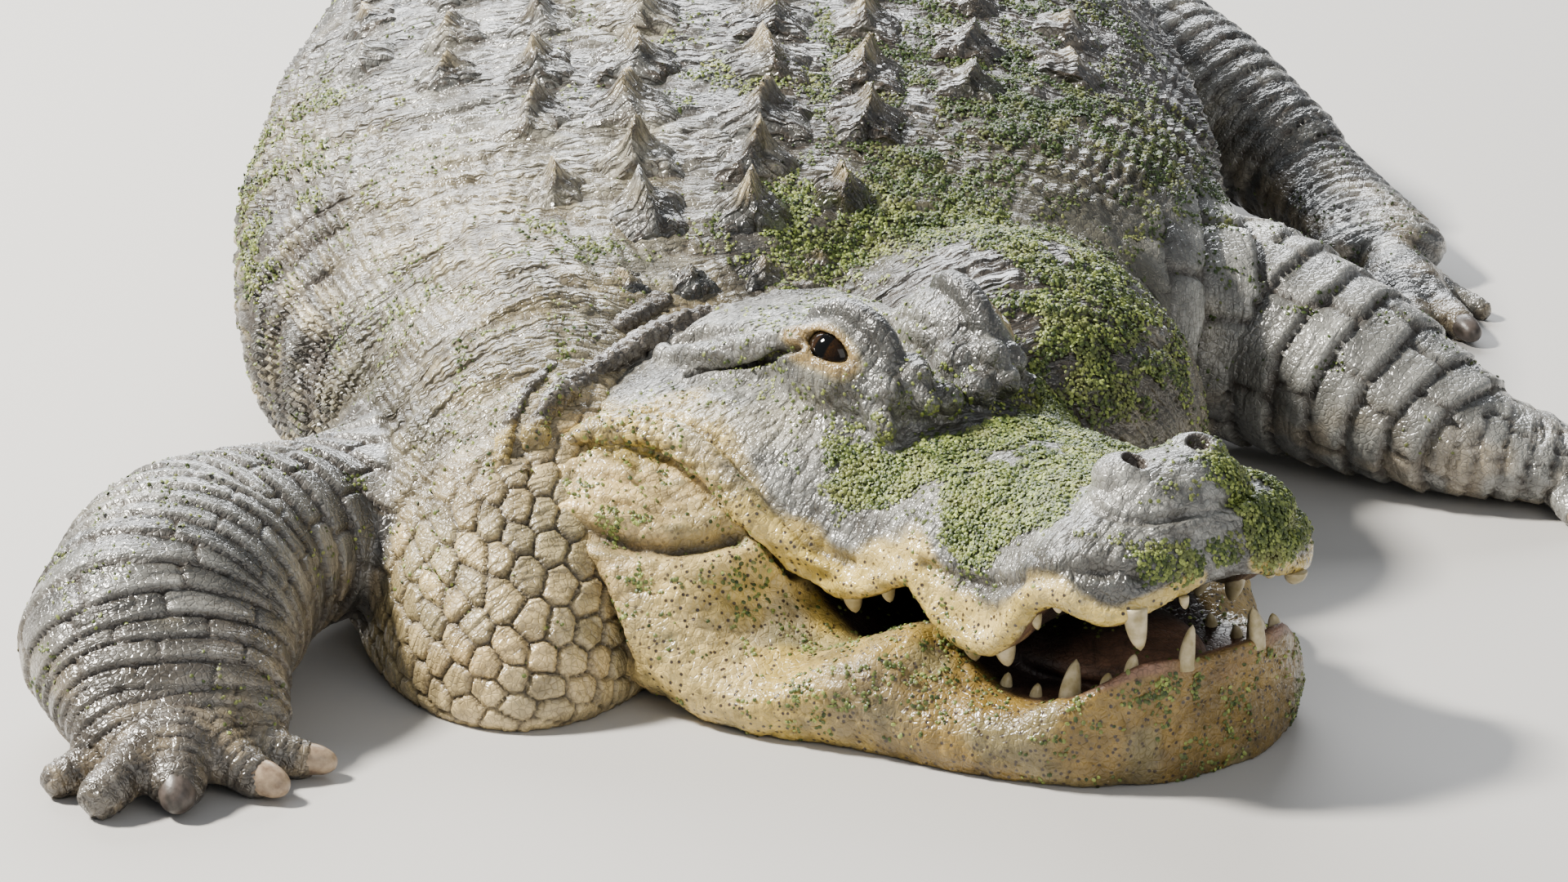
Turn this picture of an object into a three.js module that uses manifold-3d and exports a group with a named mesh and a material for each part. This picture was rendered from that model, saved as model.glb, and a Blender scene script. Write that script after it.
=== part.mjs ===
// American alligator, adult, as a still life-size model lying on the floor. Millimetres, +Z up.
// The body lies along Y with the head towards -Y, and the animal's left side is +X.
// Positions are first given from a point on the floor below the throat, and the whole is then
// moved so that the origin lies on the floor under the belly.

import * as THREE from 'three';
import { mergeVertices } from 'three/addons/utils/BufferGeometryUtils.js';
import Module from 'manifold-3d';

const wasm = await Module();
wasm.setup();

// Whole animal
const BELLY_POINT = [-50, 500];
const JOINT_GAP = 0.3;
const SKIN_CLEARANCE = 0.4;

// Head: its frame has f back from the snout tip, l to the left and h up from the upper jaw's plane
const SNOUT_TIP = [261, -308];
const HEAD_YAW = THREE.MathUtils.degToRad(38.6);
const HEAD_PITCH = THREE.MathUtils.degToRad(6.1);
const HINGE_BACK = 470;
const HINGE_HEIGHT = 57;
const HEAD_SIDES = 12;

// Upper jaw and skull: f, half width at the lip, height of the lip, height of the top, squareness
const SKULL = [
  [0, 26, 10, 26, 2.0],
  [5, 52, 4, 42, 2.2],
  [16, 76, -2, 55, 2.4],
  [42, 94, 11, 62, 2.5],
  [62, 99, 4, 62, 2.5],
  [82, 101, -18, 60, 2.4],
  [105, 101, -28, 60, 2.3],
  [130, 101, -27, 61, 2.2],
  [150, 101, -14, 63, 2.2],
  [165, 102, 3, 64, 2.2],
  [185, 104, -2, 66, 2.2],
  [205, 107, -10, 69, 2.2],
  [228, 112, -14, 76, 2.1],
  [250, 118, -6, 86, 2.1],
  [275, 127, 14, 94, 2.1],
  [305, 139, 41, 100, 2.1],
  [335, 153, 58, 103, 2.0],
  [365, 167, 68, 104, 2.0],
  [400, 180, 68, 106, 1.9],
  [430, 184, 58, 106, 1.9],
  [470, 176, 44, 98, 1.9],
];
const PALATE_DEPTH = 12;
const LIP_THICKNESS = 0.13;

// Lower jaw: f, half width at the lip, height of the lip above the floor, widest half width
const JAW = [
  [4, 24, 78, 30],
  [12, 50, 78, 58],
  [28, 68, 66, 84],
  [48, 80, 52, 104],
  [75, 88, 44, 118],
  [100, 90, 43, 130],
  [130, 93, 54, 144],
  [156, 95, 70, 158],
  [182, 100, 62, 172],
  [221, 108, 42, 192],
  [248, 114, 54, 202],
  [284, 126, 96, 212],
  [330, 146, 126, 220],
  [370, 164, 138, 224],
  [410, 178, 134, 222],
  [455, 178, 116, 210],
];
const JAW_SIDES = 10;
const JAW_WIDEST_HEIGHT = 0.42;
const MOUTH_FLOOR_DEPTH = 5;
const CHEEK_PAD = { f: 372, l: 176, h: 26, radii: [64, 34, 32] };

// Head details
const EYE = { f: 290, l: 50, h: 114, radii: [20, 20, 20] };
const EYE_MOUND = { f: 297, l: 46, h: 102, radii: [48, 33, 36] };
const MOUND_FRONT = { f: 268, l: 38, h: 92, radii: [34, 28, 26] };
const EYE_OPENING = { f: 286, l: 69, h: 123, radii: [17, 17, 8] };
const UPPER_LID = { f: 290, l: 52, h: 132, radii: [31, 18, 8] };
const LOWER_LID = { f: 290, l: 66, h: 108, radii: [29, 12, 7] };
const NOSE_BUMP = { f: 46, l: 0, h: 58, radii: [38, 54, 29] };
const NOSTRIL = { f: 50, l: 30, h: 84, radii: [12, 7, 12] };
const SKULL_TABLE = { front: 330, back: 452, halfFront: 50, halfBack: 70, top: 122, bottom: 80 };
const TABLE_DROP = 8;
const TABLE_STEPS = 4;
const TABLE_PROFILE = [
  [-1.05, 0], [-1, 0.8], [-0.9, 0.97], [-0.4, 1], [0.4, 1], [0.9, 0.97], [1, 0.8], [1.05, 0],
];
const EAR_FLAP = { f: 366, l: 69, h: 103, radii: [42, 8, 8] };
const BROW_KNOBS = [
  [248, 33, 104, 11],
  [251, 47, 96, 9],
  [240, 16, 90, 9],
];

// Teeth: f, length, thickness, from the snout back; the same list serves both sides
const UPPER_TEETH = [
  [2, 6, 6], [12, 20, 14], [29, 6, 8], [52, 7, 7], [69, 8, 7], [98, 12, 13], [128, 14, 14],
  [144, 7, 7], [199, 8, 9], [227, 13, 13], [250, 6, 8],
];
const LOWER_TEETH = [
  [6, 18, 10], [22, 9, 9], [34, 6, 8], [56, 22, 14], [80, 7, 8], [105, 7, 8],
];
const TOOTH_SIDES = 4;
const TOOTH_INSET = 0.1;

// Spine on the floor plan, from the back of the skull to the tip of the tail
const SPINE = [
  [-20, 44], [-44, 105], [-46, 190], [-36, 320], [-28, 500], [-26, 700], [-32, 880],
  [-50, 1040], [-72, 1180], [-62, 1400], [0, 1640], [110, 1890], [230, 2140], [310, 2400], [322, 2650],
];

// Body: distance behind the skull, half width, height of the back, height of the widest part,
// squareness above, sink of the underside below the floor
const BODY = [
  [-40, 160, 146, 80, 2.2, 50],
  [0, 186, 166, 84, 2.2, 60],
  [50, 234, 190, 92, 2.2, 70],
  [110, 280, 216, 104, 2.2, 80],
  [190, 316, 240, 118, 2.2, 90],
  [290, 330, 262, 130, 2.3, 96],
  [400, 326, 282, 138, 2.4, 100],
  [500, 314, 294, 142, 2.5, 104],
  [620, 296, 300, 144, 2.5, 104],
  [740, 272, 296, 140, 2.5, 100],
  [850, 254, 284, 134, 2.4, 90],
  [950, 226, 266, 126, 2.4, 80],
  [1030, 200, 244, 116, 2.3, 70],
  [1100, 168, 226, 108, 2.2, 60],
  [1200, 140, 208, 98, 2.2, 46],
  [1400, 108, 176, 80, 2.1, 30],
  [1650, 80, 142, 62, 2.0, 22],
  [1900, 58, 112, 48, 2.0, 16],
  [2150, 40, 86, 36, 2.0, 12],
  [2400, 25, 58, 24, 2.0, 8],
  [2600, 13, 32, 13, 2.0, 5],
  [2690, 6, 16, 6, 2.0, 3],
];
// The trunk lies rolled a little, so its ridge is off the middle by this much to the right
const RIDGE_LEAN = 26;
const TRUNK_END = 1105;
const BODY_LENGTHS = {
  neck: { from: -30, to: 170, rings: 6, sides: 24 },
  torso_front: { from: 170, to: 620, rings: 8, sides: 24 },
  torso_rear: { from: 620, to: TRUNK_END, rings: 8, sides: 24 },
  tail_base: { from: TRUNK_END, to: 1640, rings: 8, sides: 16 },
  tail_middle: { from: 1640, to: 2170, rings: 7, sides: 12 },
  tail_tip: { from: 2170, to: 2690, rings: 7, sides: 10 },
};

// Fat throat bulges beside the neck: centre, radii and how far they lean back as they rise
const JOWLS = [
  { at: [-160, -17, 60], radii: [116, 248, 152], lean: 0.7 },
  { at: [134, 84, 84], radii: [138, 150, 120], lean: 0 },
];

// Limbs: each length has points of its centre line with the half width and half height there
const LIMBS = [
  {
    upper_arm_right: [[-200, 60, 58, 62, 50], [-264, -36, 64, 60, 54], [-318, -118, 74, 66, 60],
      [-350, -164, 72, 76, 70]],
    forearm_right: [[-358, -182, 70, 80, 72], [-370, -236, 58, 82, 62], [-362, -276, 42, 72, 46]],
    hand_right: [[-360, -284, 38, 68, 38], [-352, -306, 30, 66, 30]],
  },
  {
    upper_arm_left: [[110, 200, 112, 84, 76], [200, 254, 104, 78, 72], [290, 282, 86, 76, 74]],
    forearm_left: [[318, 276, 78, 74, 72], [380, 228, 62, 66, 60], [432, 192, 44, 54, 42]],
    hand_left: [[448, 188, 36, 50, 34], [496, 184, 26, 52, 26]],
  },
  {
    thigh_right: [[-110, 1040, 118, 96, 92], [-195, 1024, 122, 86, 82], [-264, 1034, 112, 70, 68]],
    shank_right: [[-276, 1050, 104, 62, 60], [-288, 1104, 74, 54, 50], [-282, 1162, 48, 44, 38]],
    foot_right: [[-282, 1174, 40, 42, 32], [-290, 1222, 29, 46, 26], [-296, 1258, 24, 48, 22]],
  },
  {
    thigh_left: [[40, 1010, 120, 100, 96], [130, 958, 124, 90, 86], [212, 905, 120, 76, 74]],
    shank_left: [[232, 890, 114, 70, 66], [302, 828, 90, 62, 58], [366, 764, 56, 50, 44]],
    foot_left: [[376, 750, 48, 46, 38], [410, 690, 34, 46, 28], [430, 634, 25, 48, 22]],
  },
];
const LIMB_SIDES = 10;
const LIMB_STEP = 56;
const ROUND_END = [[0.95, 0.3], [0.7, 0.71], [0.36, 0.93]];

// Toes: where each starts across the foot (-1 to 1), its tip on the floor plan, thickness, claw or not
const TOES = {
  hand_right: [
    { across: 0.85, tip: [-280, -314], radius: 18, claw: true },
    { across: 0.45, tip: [-304, -346], radius: 20, claw: true },
    { across: 0, tip: [-350, -366], radius: 23, claw: true },
    { across: -0.45, tip: [-396, -378], radius: 21, claw: false },
    { across: -0.88, tip: [-424, -346], radius: 18, claw: false },
  ],
  hand_left: [
    { across: -0.85, tip: [512, 118], radius: 16, claw: true },
    { across: -0.42, tip: [560, 134], radius: 18, claw: true },
    { across: 0.05, tip: [578, 178], radius: 19, claw: true },
    { across: 0.5, tip: [568, 222], radius: 16, claw: false },
    { across: 0.9, tip: [536, 250], radius: 14, claw: false },
  ],
  foot_right: [
    { across: 0.8, tip: [-236, 1318], radius: 15, claw: true },
    { across: 0.28, tip: [-274, 1346], radius: 17, claw: true },
    { across: -0.28, tip: [-314, 1344], radius: 17, claw: true },
    { across: -0.8, tip: [-342, 1308], radius: 13, claw: false },
  ],
  foot_left: [
    { across: -0.8, tip: [408, 526], radius: 15, claw: true },
    { across: -0.28, tip: [442, 494], radius: 17, claw: true },
    { across: 0.28, tip: [476, 506], radius: 17, claw: true },
    { across: 0.8, tip: [496, 552], radius: 13, claw: false },
  ],
};
const TOE_SIDES = 5;
const TOE_STEPS = 3;
const CLAW_LENGTH = 20;
const CLAW_SIDES = 5;
const CLAW_STEPS = 3;

// Scutes: plates with a keel that rises towards the rear, set in cross rows
const SCUTE_ROOT = 34;
const SCUTE_LIFT = 3;
const SCUTE_COVER = 0.94;
const ROW_SPACING = 63;
const RANDOM_SEED = 7;

// Rows of the back: places across from the ridge with the width and the keel's height there
const BACK_COLUMNS = [
  { across: 44, width: 78, keel: 20 },
  { across: 108, width: 62, keel: 18 },
  { across: 168, width: 58, keel: 13 },
];
const OUTER_COLUMN_SPAN = [250, 960];

// Large plates of the neck: distance behind the skull, place across, length, width, keel
const NECK_PLATES = [
  [34, 24, 26, 36, 8], [40, 66, 26, 38, 8],
  [92, 34, 52, 58, 22], [146, 38, 46, 62, 24], [118, 92, 44, 44, 16],
];

// Tail crests: a pair of keels along the upper edges, which meet in a single keel further back
const CREST_MEETS = 1900;
const CREST = { width: 26, pairHeight: [20, 34], singleHeight: [40, 14], spread: 0.6 };

// Colours and finish
const SKINS = {
  head: { color: 0x6f7478, roughness: 0.5, metalness: 0 },
  jaw: { color: 0xc9ab78, roughness: 0.6, metalness: 0 },
  body: { color: 0x5c625d, roughness: 0.55, metalness: 0 },
  limb: { color: 0x565c62, roughness: 0.55, metalness: 0 },
  claw: { color: 0x9a8263, roughness: 0.4, metalness: 0 },
  eye: { color: 0x2a1a08, roughness: 0.08, metalness: 0 },
};

// Value of a column between a table's rows, as a smooth curve that never overshoots them
function along(table, place, column) {
  const last = table.length - 1;
  if (place <= table[0][0]) return table[0][column];
  if (place >= table[last][0]) return table[last][column];
  let row = 0;
  while (table[row + 1][0] < place) row += 1;
  const rise = (i) => (table[i + 1][column] - table[i][column]) / (table[i + 1][0] - table[i][0]);
  const slope = (i) => {
    if (i === 0 || i === last) return rise(Math.min(i, last - 1));
    const before = rise(i - 1);
    const after = rise(i);
    return before * after > 0 ? (2 * before * after) / (before + after) : 0;
  };
  const span = table[row + 1][0] - table[row][0];
  const t = (place - table[row][0]) / span;
  const startWeight = (1 + 2 * t) * (1 - t) ** 2;
  const endWeight = t * t * (3 - 2 * t);
  return startWeight * table[row][column] + t * (1 - t) ** 2 * span * slope(row)
    + endWeight * table[row + 1][column] + t * t * (t - 1) * span * slope(row + 1);
}

function signedPower(value, power) {
  return Math.sign(value) * Math.abs(value) ** power;
}

// Closed surface through rings of points, each end closed by a fan
function loft(rings) {
  const sides = rings[0].length;
  const points = rings.flat();
  const index = [];
  for (let r = 0; r < rings.length - 1; r += 1) {
    for (let i = 0; i < sides; i += 1) {
      const a = r * sides + i;
      const b = r * sides + ((i + 1) % sides);
      index.push(a, b, b + sides, a, b + sides, a + sides);
    }
  }
  const lastStart = (rings.length - 1) * sides;
  for (const [ring, start, turned] of [[rings[0], 0, true], [rings.at(-1), lastStart, false]]) {
    const centre = ring.reduce((sum, p) => sum.add(p), new THREE.Vector3()).divideScalar(sides);
    const hub = points.length;
    points.push(centre);
    for (let i = 0; i < sides; i += 1) {
      const a = start + i;
      const b = start + ((i + 1) % sides);
      index.push(hub, turned ? b : a, turned ? a : b);
    }
  }
  const geometry = new THREE.BufferGeometry().setFromPoints(points);
  geometry.setIndex(index);
  return geometry;
}

// Loft whose two end rings are moved apart by the growth of a clearance body
function lengthened(rings, grow) {
  const middle = (ring) => ring.reduce((sum, p) => sum.add(p), new THREE.Vector3()).divideScalar(ring.length);
  const axis = middle(rings.at(-1)).sub(middle(rings[0])).normalize();
  const first = rings[0].map((p) => p.clone().addScaledVector(axis, -grow));
  const last = rings.at(-1).map((p) => p.clone().addScaledVector(axis, grow));
  return loft([first, ...rings.slice(1, -1), last]);
}

function enclosedVolume(positions, triangles) {
  const corner = (i) => new THREE.Vector3().fromArray(positions, 3 * triangles[i]);
  let volume = 0;
  for (let i = 0; i < triangles.length; i += 3) {
    volume += corner(i).dot(corner(i + 1).cross(corner(i + 2))) / 6;
  }
  return volume;
}

function solid(geometry) {
  const bare = geometry.clone();
  bare.deleteAttribute('normal');
  bare.deleteAttribute('uv');
  const merged = mergeVertices(bare, 1e-4);
  const vertProperties = new Float32Array(merged.attributes.position.array);
  const triVerts = new Uint32Array(merged.index.array);
  if (enclosedVolume(vertProperties, triVerts) < 0) triVerts.reverse();
  return new wasm.Manifold(new wasm.Mesh({ numProp: 3, vertProperties, triVerts }));
}

function join(pieces) {
  return wasm.Manifold.union(pieces);
}

// Largest closed surface of a solid
function largest(body) {
  const parts = body.decompose();
  return parts.reduce((best, part) => (part.volume() > best.volume() ? part : best), parts[0]);
}

function aboveFloor(body) {
  return body.trimByPlane([0, 0, 1], 0);
}

// Flat ring of points with each of its sides moved outwards by the growth of a clearance body
function outset(ring, grow) {
  const corner = (i) => new THREE.Vector2(...ring[(i + ring.length) % ring.length]);
  const area = ring.reduce((sum, point, i) => sum + corner(i).cross(corner(i + 1)), 0);
  const outward = (i) => {
    const side = corner(i + 1).sub(corner(i)).normalize().multiplyScalar(Math.sign(area));
    return new THREE.Vector2(side.y, -side.x);
  };
  return ring.map((point, i) => {
    const before = outward(i - 1);
    const after = outward(i);
    const reach = grow / Math.max(0.4, 1 + before.dot(after));
    return corner(i).addScaledVector(before.add(after), reach).toArray();
  });
}

function headPoint(f, l, h) {
  const sine = Math.sin(HEAD_YAW);
  const cosine = Math.cos(HEAD_YAW);
  const level = Math.cos(HEAD_PITCH);
  const forward = new THREE.Vector3(sine * level, -cosine * level, Math.sin(HEAD_PITCH));
  const left = new THREE.Vector3(cosine, sine, 0);
  const up = new THREE.Vector3().crossVectors(left, forward).negate();
  const [tipX, tipY] = SNOUT_TIP;
  const hinge = new THREE.Vector3(tipX - HINGE_BACK * sine, tipY + HINGE_BACK * cosine, HINGE_HEIGHT);
  return hinge.addScaledVector(forward, HINGE_BACK - f).addScaledVector(left, l).addScaledVector(up, h);
}

// Same place along and across the head, at a height above the floor
function jawPoint(f, l, z) {
  const onPlane = headPoint(f, l, 0);
  return new THREE.Vector3(onPlane.x, onPlane.y, z);
}

function blob(place, radii, toWorld, grow = 0, around = 16, down = 10) {
  const geometry = new THREE.SphereGeometry(1, around, down);
  const position = geometry.attributes.position;
  for (let i = 0; i < position.count; i += 1) {
    const p = toWorld(
      place[0] + position.getX(i) * (radii[0] + grow),
      place[1] + position.getY(i) * (radii[1] + grow),
      place[2] + position.getZ(i) * (radii[2] + grow));
    position.setXYZ(i, p.x, p.y, p.z);
  }
  return solid(geometry);
}

function headBlob(form, side, grow, around, down) {
  return blob([form.f, side * form.l, form.h], form.radii, headPoint, grow, around, down);
}

// Cross section of the upper jaw and skull: over the top from one lip to the other, then the palate
function skullRing(f, grow) {
  const half = along(SKULL, f, 1);
  const lip = along(SKULL, f, 2);
  const top = along(SKULL, f, 3);
  const power = 2 / along(SKULL, f, 4);
  const ring = [];
  for (let i = 0; i <= HEAD_SIDES; i += 1) {
    const turn = (Math.PI * i) / HEAD_SIDES;
    const rise = (top - lip) * signedPower(Math.sin(turn), power);
    ring.push([half * signedPower(Math.cos(turn), power), lip + rise]);
  }
  const depth = PALATE_DEPTH * Math.min(1, half / 80);
  const inner = half * (1 - LIP_THICKNESS);
  for (const [across, rise] of [[-1, 0], [-0.7, 0.8], [-0.25, 1], [0.25, 1], [0.7, 0.8], [1, 0]]) {
    ring.push([inner * across, lip + depth * rise]);
  }
  return outset(ring, grow).map(([l, h]) => headPoint(f, l, h));
}

function skullTable(grow) {
  const { front, back, halfFront, halfBack, top, bottom } = SKULL_TABLE;
  const rings = [];
  for (let step = 0; step <= TABLE_STEPS; step += 1) {
    const share = step / TABLE_STEPS;
    const f = THREE.MathUtils.lerp(front, back, share);
    const half = THREE.MathUtils.lerp(halfFront, halfBack, share) + grow;
    const crown = top + grow - TABLE_DROP * (1 - Math.sin(Math.PI * (0.2 + 0.7 * share)));
    const ring = TABLE_PROFILE.map(([across, height]) => headPoint(
      f, half * across, bottom + (crown - bottom) * height));
    rings.push(ring);
  }
  return solid(lengthened(rings, grow));
}

function skullForm(grow) {
  const rings = SKULL.map((row) => skullRing(row[0], grow));
  const pieces = [solid(lengthened(rings, grow)), headBlob(NOSE_BUMP, 1, grow, 12, 7), skullTable(grow)];
  for (const side of [-1, 1]) {
    pieces.push(headBlob(EYE_MOUND, side, grow, 10, 6), headBlob(MOUND_FRONT, side, grow, 8, 5));
    pieces.push(headBlob(EAR_FLAP, side, grow, 8, 4));
    pieces.push(headBlob(UPPER_LID, side, grow, 10, 4), headBlob(LOWER_LID, side, grow, 8, 4));
    for (const [f, l, h, radius] of BROW_KNOBS) {
      pieces.push(blob([f, side * l, h], [radius * 1.4, radius, radius], headPoint, grow, 6, 4));
    }
  }
  return join(pieces);
}

// Cross section of the lower jaw, from the floor up over the lip and down into the mouth
function jawRing(f, grow) {
  const lipHalf = along(JAW, f, 1);
  const lip = along(JAW, f, 2);
  const widest = along(JAW, f, 3);
  const widestHeight = lip * JAW_WIDEST_HEIGHT;
  const right = [];
  for (let i = 0; i < JAW_SIDES; i += 1) {
    const turn = (Math.PI * (i / (JAW_SIDES - 1) - 0.5));
    const above = turn > 0;
    const across = above
      ? lipHalf + (widest - lipHalf) * Math.cos(turn) ** 0.9
      : widest * Math.cos(turn) ** 0.7;
    const height = above
      ? widestHeight + (lip - widestHeight) * Math.sin(turn)
      : widestHeight + (widestHeight + 30) * Math.sin(turn);
    right.push([across, height]);
  }
  const depth = MOUTH_FLOOR_DEPTH * Math.min(1, lipHalf / 70);
  right.push([lipHalf * 0.86, lip - 1]);
  right.push([lipHalf * 0.6, lip - depth]);
  const left = right.slice(1).reverse();
  const ring = [...right.map(([across, height]) => [-across, height]), ...left];
  return outset(ring, grow).map(([l, z]) => jawPoint(f, l, z));
}

function jawForm(grow) {
  const pieces = [solid(lengthened(JAW.map((row) => jawRing(row[0], grow)), grow))];
  for (const side of [-1, 1]) pieces.push(headBlob(CHEEK_PAD, side, grow, 10, 6));
  return aboveFloor(join(pieces));
}

// Teeth are cones set along a lip, pointing down from the upper jaw or up from the lower one
function teeth(list, lipPlace, direction, grow = 0) {
  const cones = [];
  for (const [f, length, thickness] of list) {
    for (const side of [-1, 1]) {
      const root = lipPlace(f, side);
      const radius = thickness / 2 + grow;
      const profile = [
        [0, -0.5 * length], [radius, -0.5 * length], [radius * 0.85, 0.4 * length], [0, length + grow],
      ];
      const tooth = new THREE.LatheGeometry(profile.map(([r, y]) => new THREE.Vector2(r, y)), TOOTH_SIDES);
      tooth.rotateX(direction * (Math.PI / 2));
      tooth.translate(root.x, root.y, root.z);
      cones.push(solid(tooth));
    }
  }
  return join(cones);
}

function upperTooth(f, side) {
  const half = along(SKULL, f, 1) * (1 - TOOTH_INSET);
  return headPoint(f, side * half, along(SKULL, f, 2));
}

function lowerTooth(f, side) {
  const half = along(JAW, f, 1) * (1 - TOOTH_INSET);
  return jawPoint(f, side * half, along(JAW, f, 2));
}

// Spine curve on the floor plan, and the frame at a distance behind the skull
const spinePoints = SPINE.map(([x, y]) => new THREE.Vector3(x, y, 0));
const spineCurve = new THREE.CatmullRomCurve3(spinePoints, false, 'centripetal');
spineCurve.arcLengthDivisions = 800;
const SPINE_LENGTH = spineCurve.getLength();

function spineFrame(distance) {
  const share = THREE.MathUtils.clamp(distance / SPINE_LENGTH, 0, 1);
  const tangent = spineCurve.getTangentAt(share);
  const point = spineCurve.getPointAt(share);
  if (distance < 0) point.addScaledVector(tangent, distance);
  return { point, tangent, left: new THREE.Vector3(tangent.y, -tangent.x, 0) };
}

// Point on the body's surface: turn 0 is the left side, half a turn the right side, a quarter the back
function bodyPoint(distance, turn, grow = 0) {
  const { point, left } = spineFrame(distance);
  const half = along(BODY, distance, 1) + grow;
  const top = along(BODY, distance, 2) + grow;
  const middle = along(BODY, distance, 3);
  const power = 2 / along(BODY, distance, 4);
  const sink = along(BODY, distance, 5) + grow;
  const across = half * signedPower(Math.cos(turn), power);
  const rise = signedPower(Math.sin(turn), power);
  const lean = RIDGE_LEAN * Math.max(0, rise) ** 2 * Math.max(0, Math.sin((Math.PI * distance) / TRUNK_END));
  point.addScaledVector(left, across - (distance < TRUNK_END ? lean : 0));
  point.z = middle + rise * (rise > 0 ? top - middle : middle + sink);
  return point;
}

function bodyLength({ from, to, rings, sides }, grow = 0) {
  const loops = [];
  for (let r = 0; r <= rings; r += 1) {
    const start = from + JOINT_GAP / 2 - grow;
    const end = to - JOINT_GAP / 2 + grow;
    const distance = THREE.MathUtils.lerp(start, end, r / rings);
    const ring = [];
    for (let i = 0; i < sides; i += 1) ring.push(bodyPoint(distance, (2 * Math.PI * i) / sides, grow));
    loops.push(ring);
  }
  return aboveFloor(solid(loft(loops)));
}

let randomState = RANDOM_SEED;

// Next number of a seeded row, spread evenly about 1 by a share
function varied(share) {
  randomState = (randomState * 16807) % 2147483647;
  return 1 + share * (2 * (randomState / 2147483647) - 1);
}

// Closed plate at a place on a surface: its keel rises from a low front to a high rear, and its
// underside narrows to a root inside the body
function scute({ point, normal, rearward, depth }, { length, width, keel }) {
  const side = new THREE.Vector3().crossVectors(normal, rearward).normalize();
  const place = (back, across, height) => point.clone()
    .addScaledVector(rearward, (back * length) / 2)
    .addScaledVector(side, (across * width) / 2)
    .addScaledVector(normal, height);
  const points = [
    place(-1, -1, SCUTE_LIFT), place(-1, 1, SCUTE_LIFT), place(1, 1, SCUTE_LIFT), place(1, -1, SCUTE_LIFT),
    place(-0.75, 0, SCUTE_LIFT + 0.2 * keel), place(0.68, 0, SCUTE_LIFT + keel),
    place(0, 0, -Math.min(SCUTE_ROOT, depth)),
  ];
  const roof = [0, 1, 4, 1, 2, 5, 1, 5, 4, 2, 3, 5, 3, 0, 4, 3, 4, 5];
  const underside = [1, 0, 6, 2, 1, 6, 3, 2, 6, 0, 3, 6];
  const geometry = new THREE.BufferGeometry().setFromPoints(points);
  geometry.setIndex([...roof, ...underside]);
  return solid(geometry);
}

// Place on the body at a distance across from the ridge, with the surface's own directions
function backPlace(distance, across) {
  const share = across / along(BODY, distance, 1);
  const turn = Math.acos(signedPower(share, along(BODY, distance, 4) / 2));
  const point = bodyPoint(distance, turn);
  const rearward = bodyPoint(distance + 5, turn).sub(bodyPoint(distance - 5, turn)).normalize();
  const sideways = bodyPoint(distance, turn - 0.02).sub(bodyPoint(distance, turn + 0.02)).normalize();
  const normal = new THREE.Vector3().crossVectors(sideways, rearward).normalize();
  if (normal.z < 0) normal.negate();
  return { point, normal, rearward, depth: 0.4 * along(BODY, distance, 2) };
}

// Distances of the cross rows of one body length, each row clear of its ends
function crossRows({ from, to }) {
  const count = Math.round((to - from) / ROW_SPACING);
  const step = (to - from) / count;
  return Array.from({ length: count }, (unused, row) => ({ distance: from + (row + 0.5) * step, step }));
}

function trunkScutes(length) {
  const plates = [];
  for (const { distance, step } of crossRows(length)) {
    for (const { across, width, keel } of BACK_COLUMNS) {
      const outer = across === BACK_COLUMNS.at(-1).across;
      if (outer && (distance < OUTER_COLUMN_SPAN[0] || distance > OUTER_COLUMN_SPAN[1])) continue;
      const narrowing = Math.min(1, along(BODY, distance, 1) / 270);
      for (const side of [-1, 1]) {
        plates.push(scute(backPlace(distance, side * across * narrowing), {
          length: step * SCUTE_COVER,
          width: width * narrowing * 0.94,
          keel: keel * varied(0.18),
        }));
      }
    }
  }
  return plates;
}

function neckScutes() {
  const plates = [];
  for (const [distance, across, length, width, keel] of NECK_PLATES) {
    for (const side of [-1, 1]) {
      plates.push(scute(backPlace(distance, side * across), { length, width, keel: keel * varied(0.12) }));
    }
  }
  return plates;
}

function tailScutes(length) {
  const plates = [];
  const tailEnd = BODY_LENGTHS.tail_tip.to;
  for (const { distance, step } of crossRows(length)) {
    const half = along(BODY, distance, 1);
    const size = { length: step * SCUTE_COVER, width: Math.min(CREST.width, half * 0.5) };
    if (distance < CREST_MEETS) {
      const share = (distance - TRUNK_END) / (CREST_MEETS - TRUNK_END);
      const keel = THREE.MathUtils.lerp(...CREST.pairHeight, share);
      const across = half * CREST.spread * (1 - 0.6 * share);
      for (const side of [-1, 1]) {
        plates.push(scute(backPlace(distance, side * across), { ...size, keel: keel * varied(0.1) }));
      }
    } else {
      const share = (distance - CREST_MEETS) / (tailEnd - CREST_MEETS);
      const keel = THREE.MathUtils.lerp(...CREST.singleHeight, share);
      plates.push(scute(backPlace(distance, 0), { ...size, keel: keel * varied(0.08) }));
    }
  }
  return plates;
}

// Scutes of one body length, cut off where they would pass its ends
function scutesOf(name) {
  const length = BODY_LENGTHS[name];
  const makers = { neck: neckScutes, torso_front: trunkScutes, torso_rear: trunkScutes };
  const plates = join((makers[name] ?? tailScutes)(length));
  const front = spineFrame(length.from);
  const rear = spineFrame(length.to);
  return plates
    .trimByPlane(front.tangent.toArray(), front.point.dot(front.tangent) + JOINT_GAP)
    .trimByPlane(rear.tangent.clone().negate().toArray(), JOINT_GAP - rear.point.dot(rear.tangent));
}

function neckForm(grow) {
  const pieces = [bodyLength(BODY_LENGTHS.neck, grow)];
  for (const { at, radii, lean } of JOWLS) {
    pieces.push(blob(at, radii, (x, y, z) => new THREE.Vector3(x, y + lean * z, z), grow, 14, 8));
  }
  const { point, tangent } = spineFrame(BODY_LENGTHS.neck.to);
  const cut = point.dot(tangent) - JOINT_GAP / 2 + grow;
  return aboveFloor(join(pieces).trimByPlane([-tangent.x, -tangent.y, -tangent.z], -cut));
}

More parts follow.
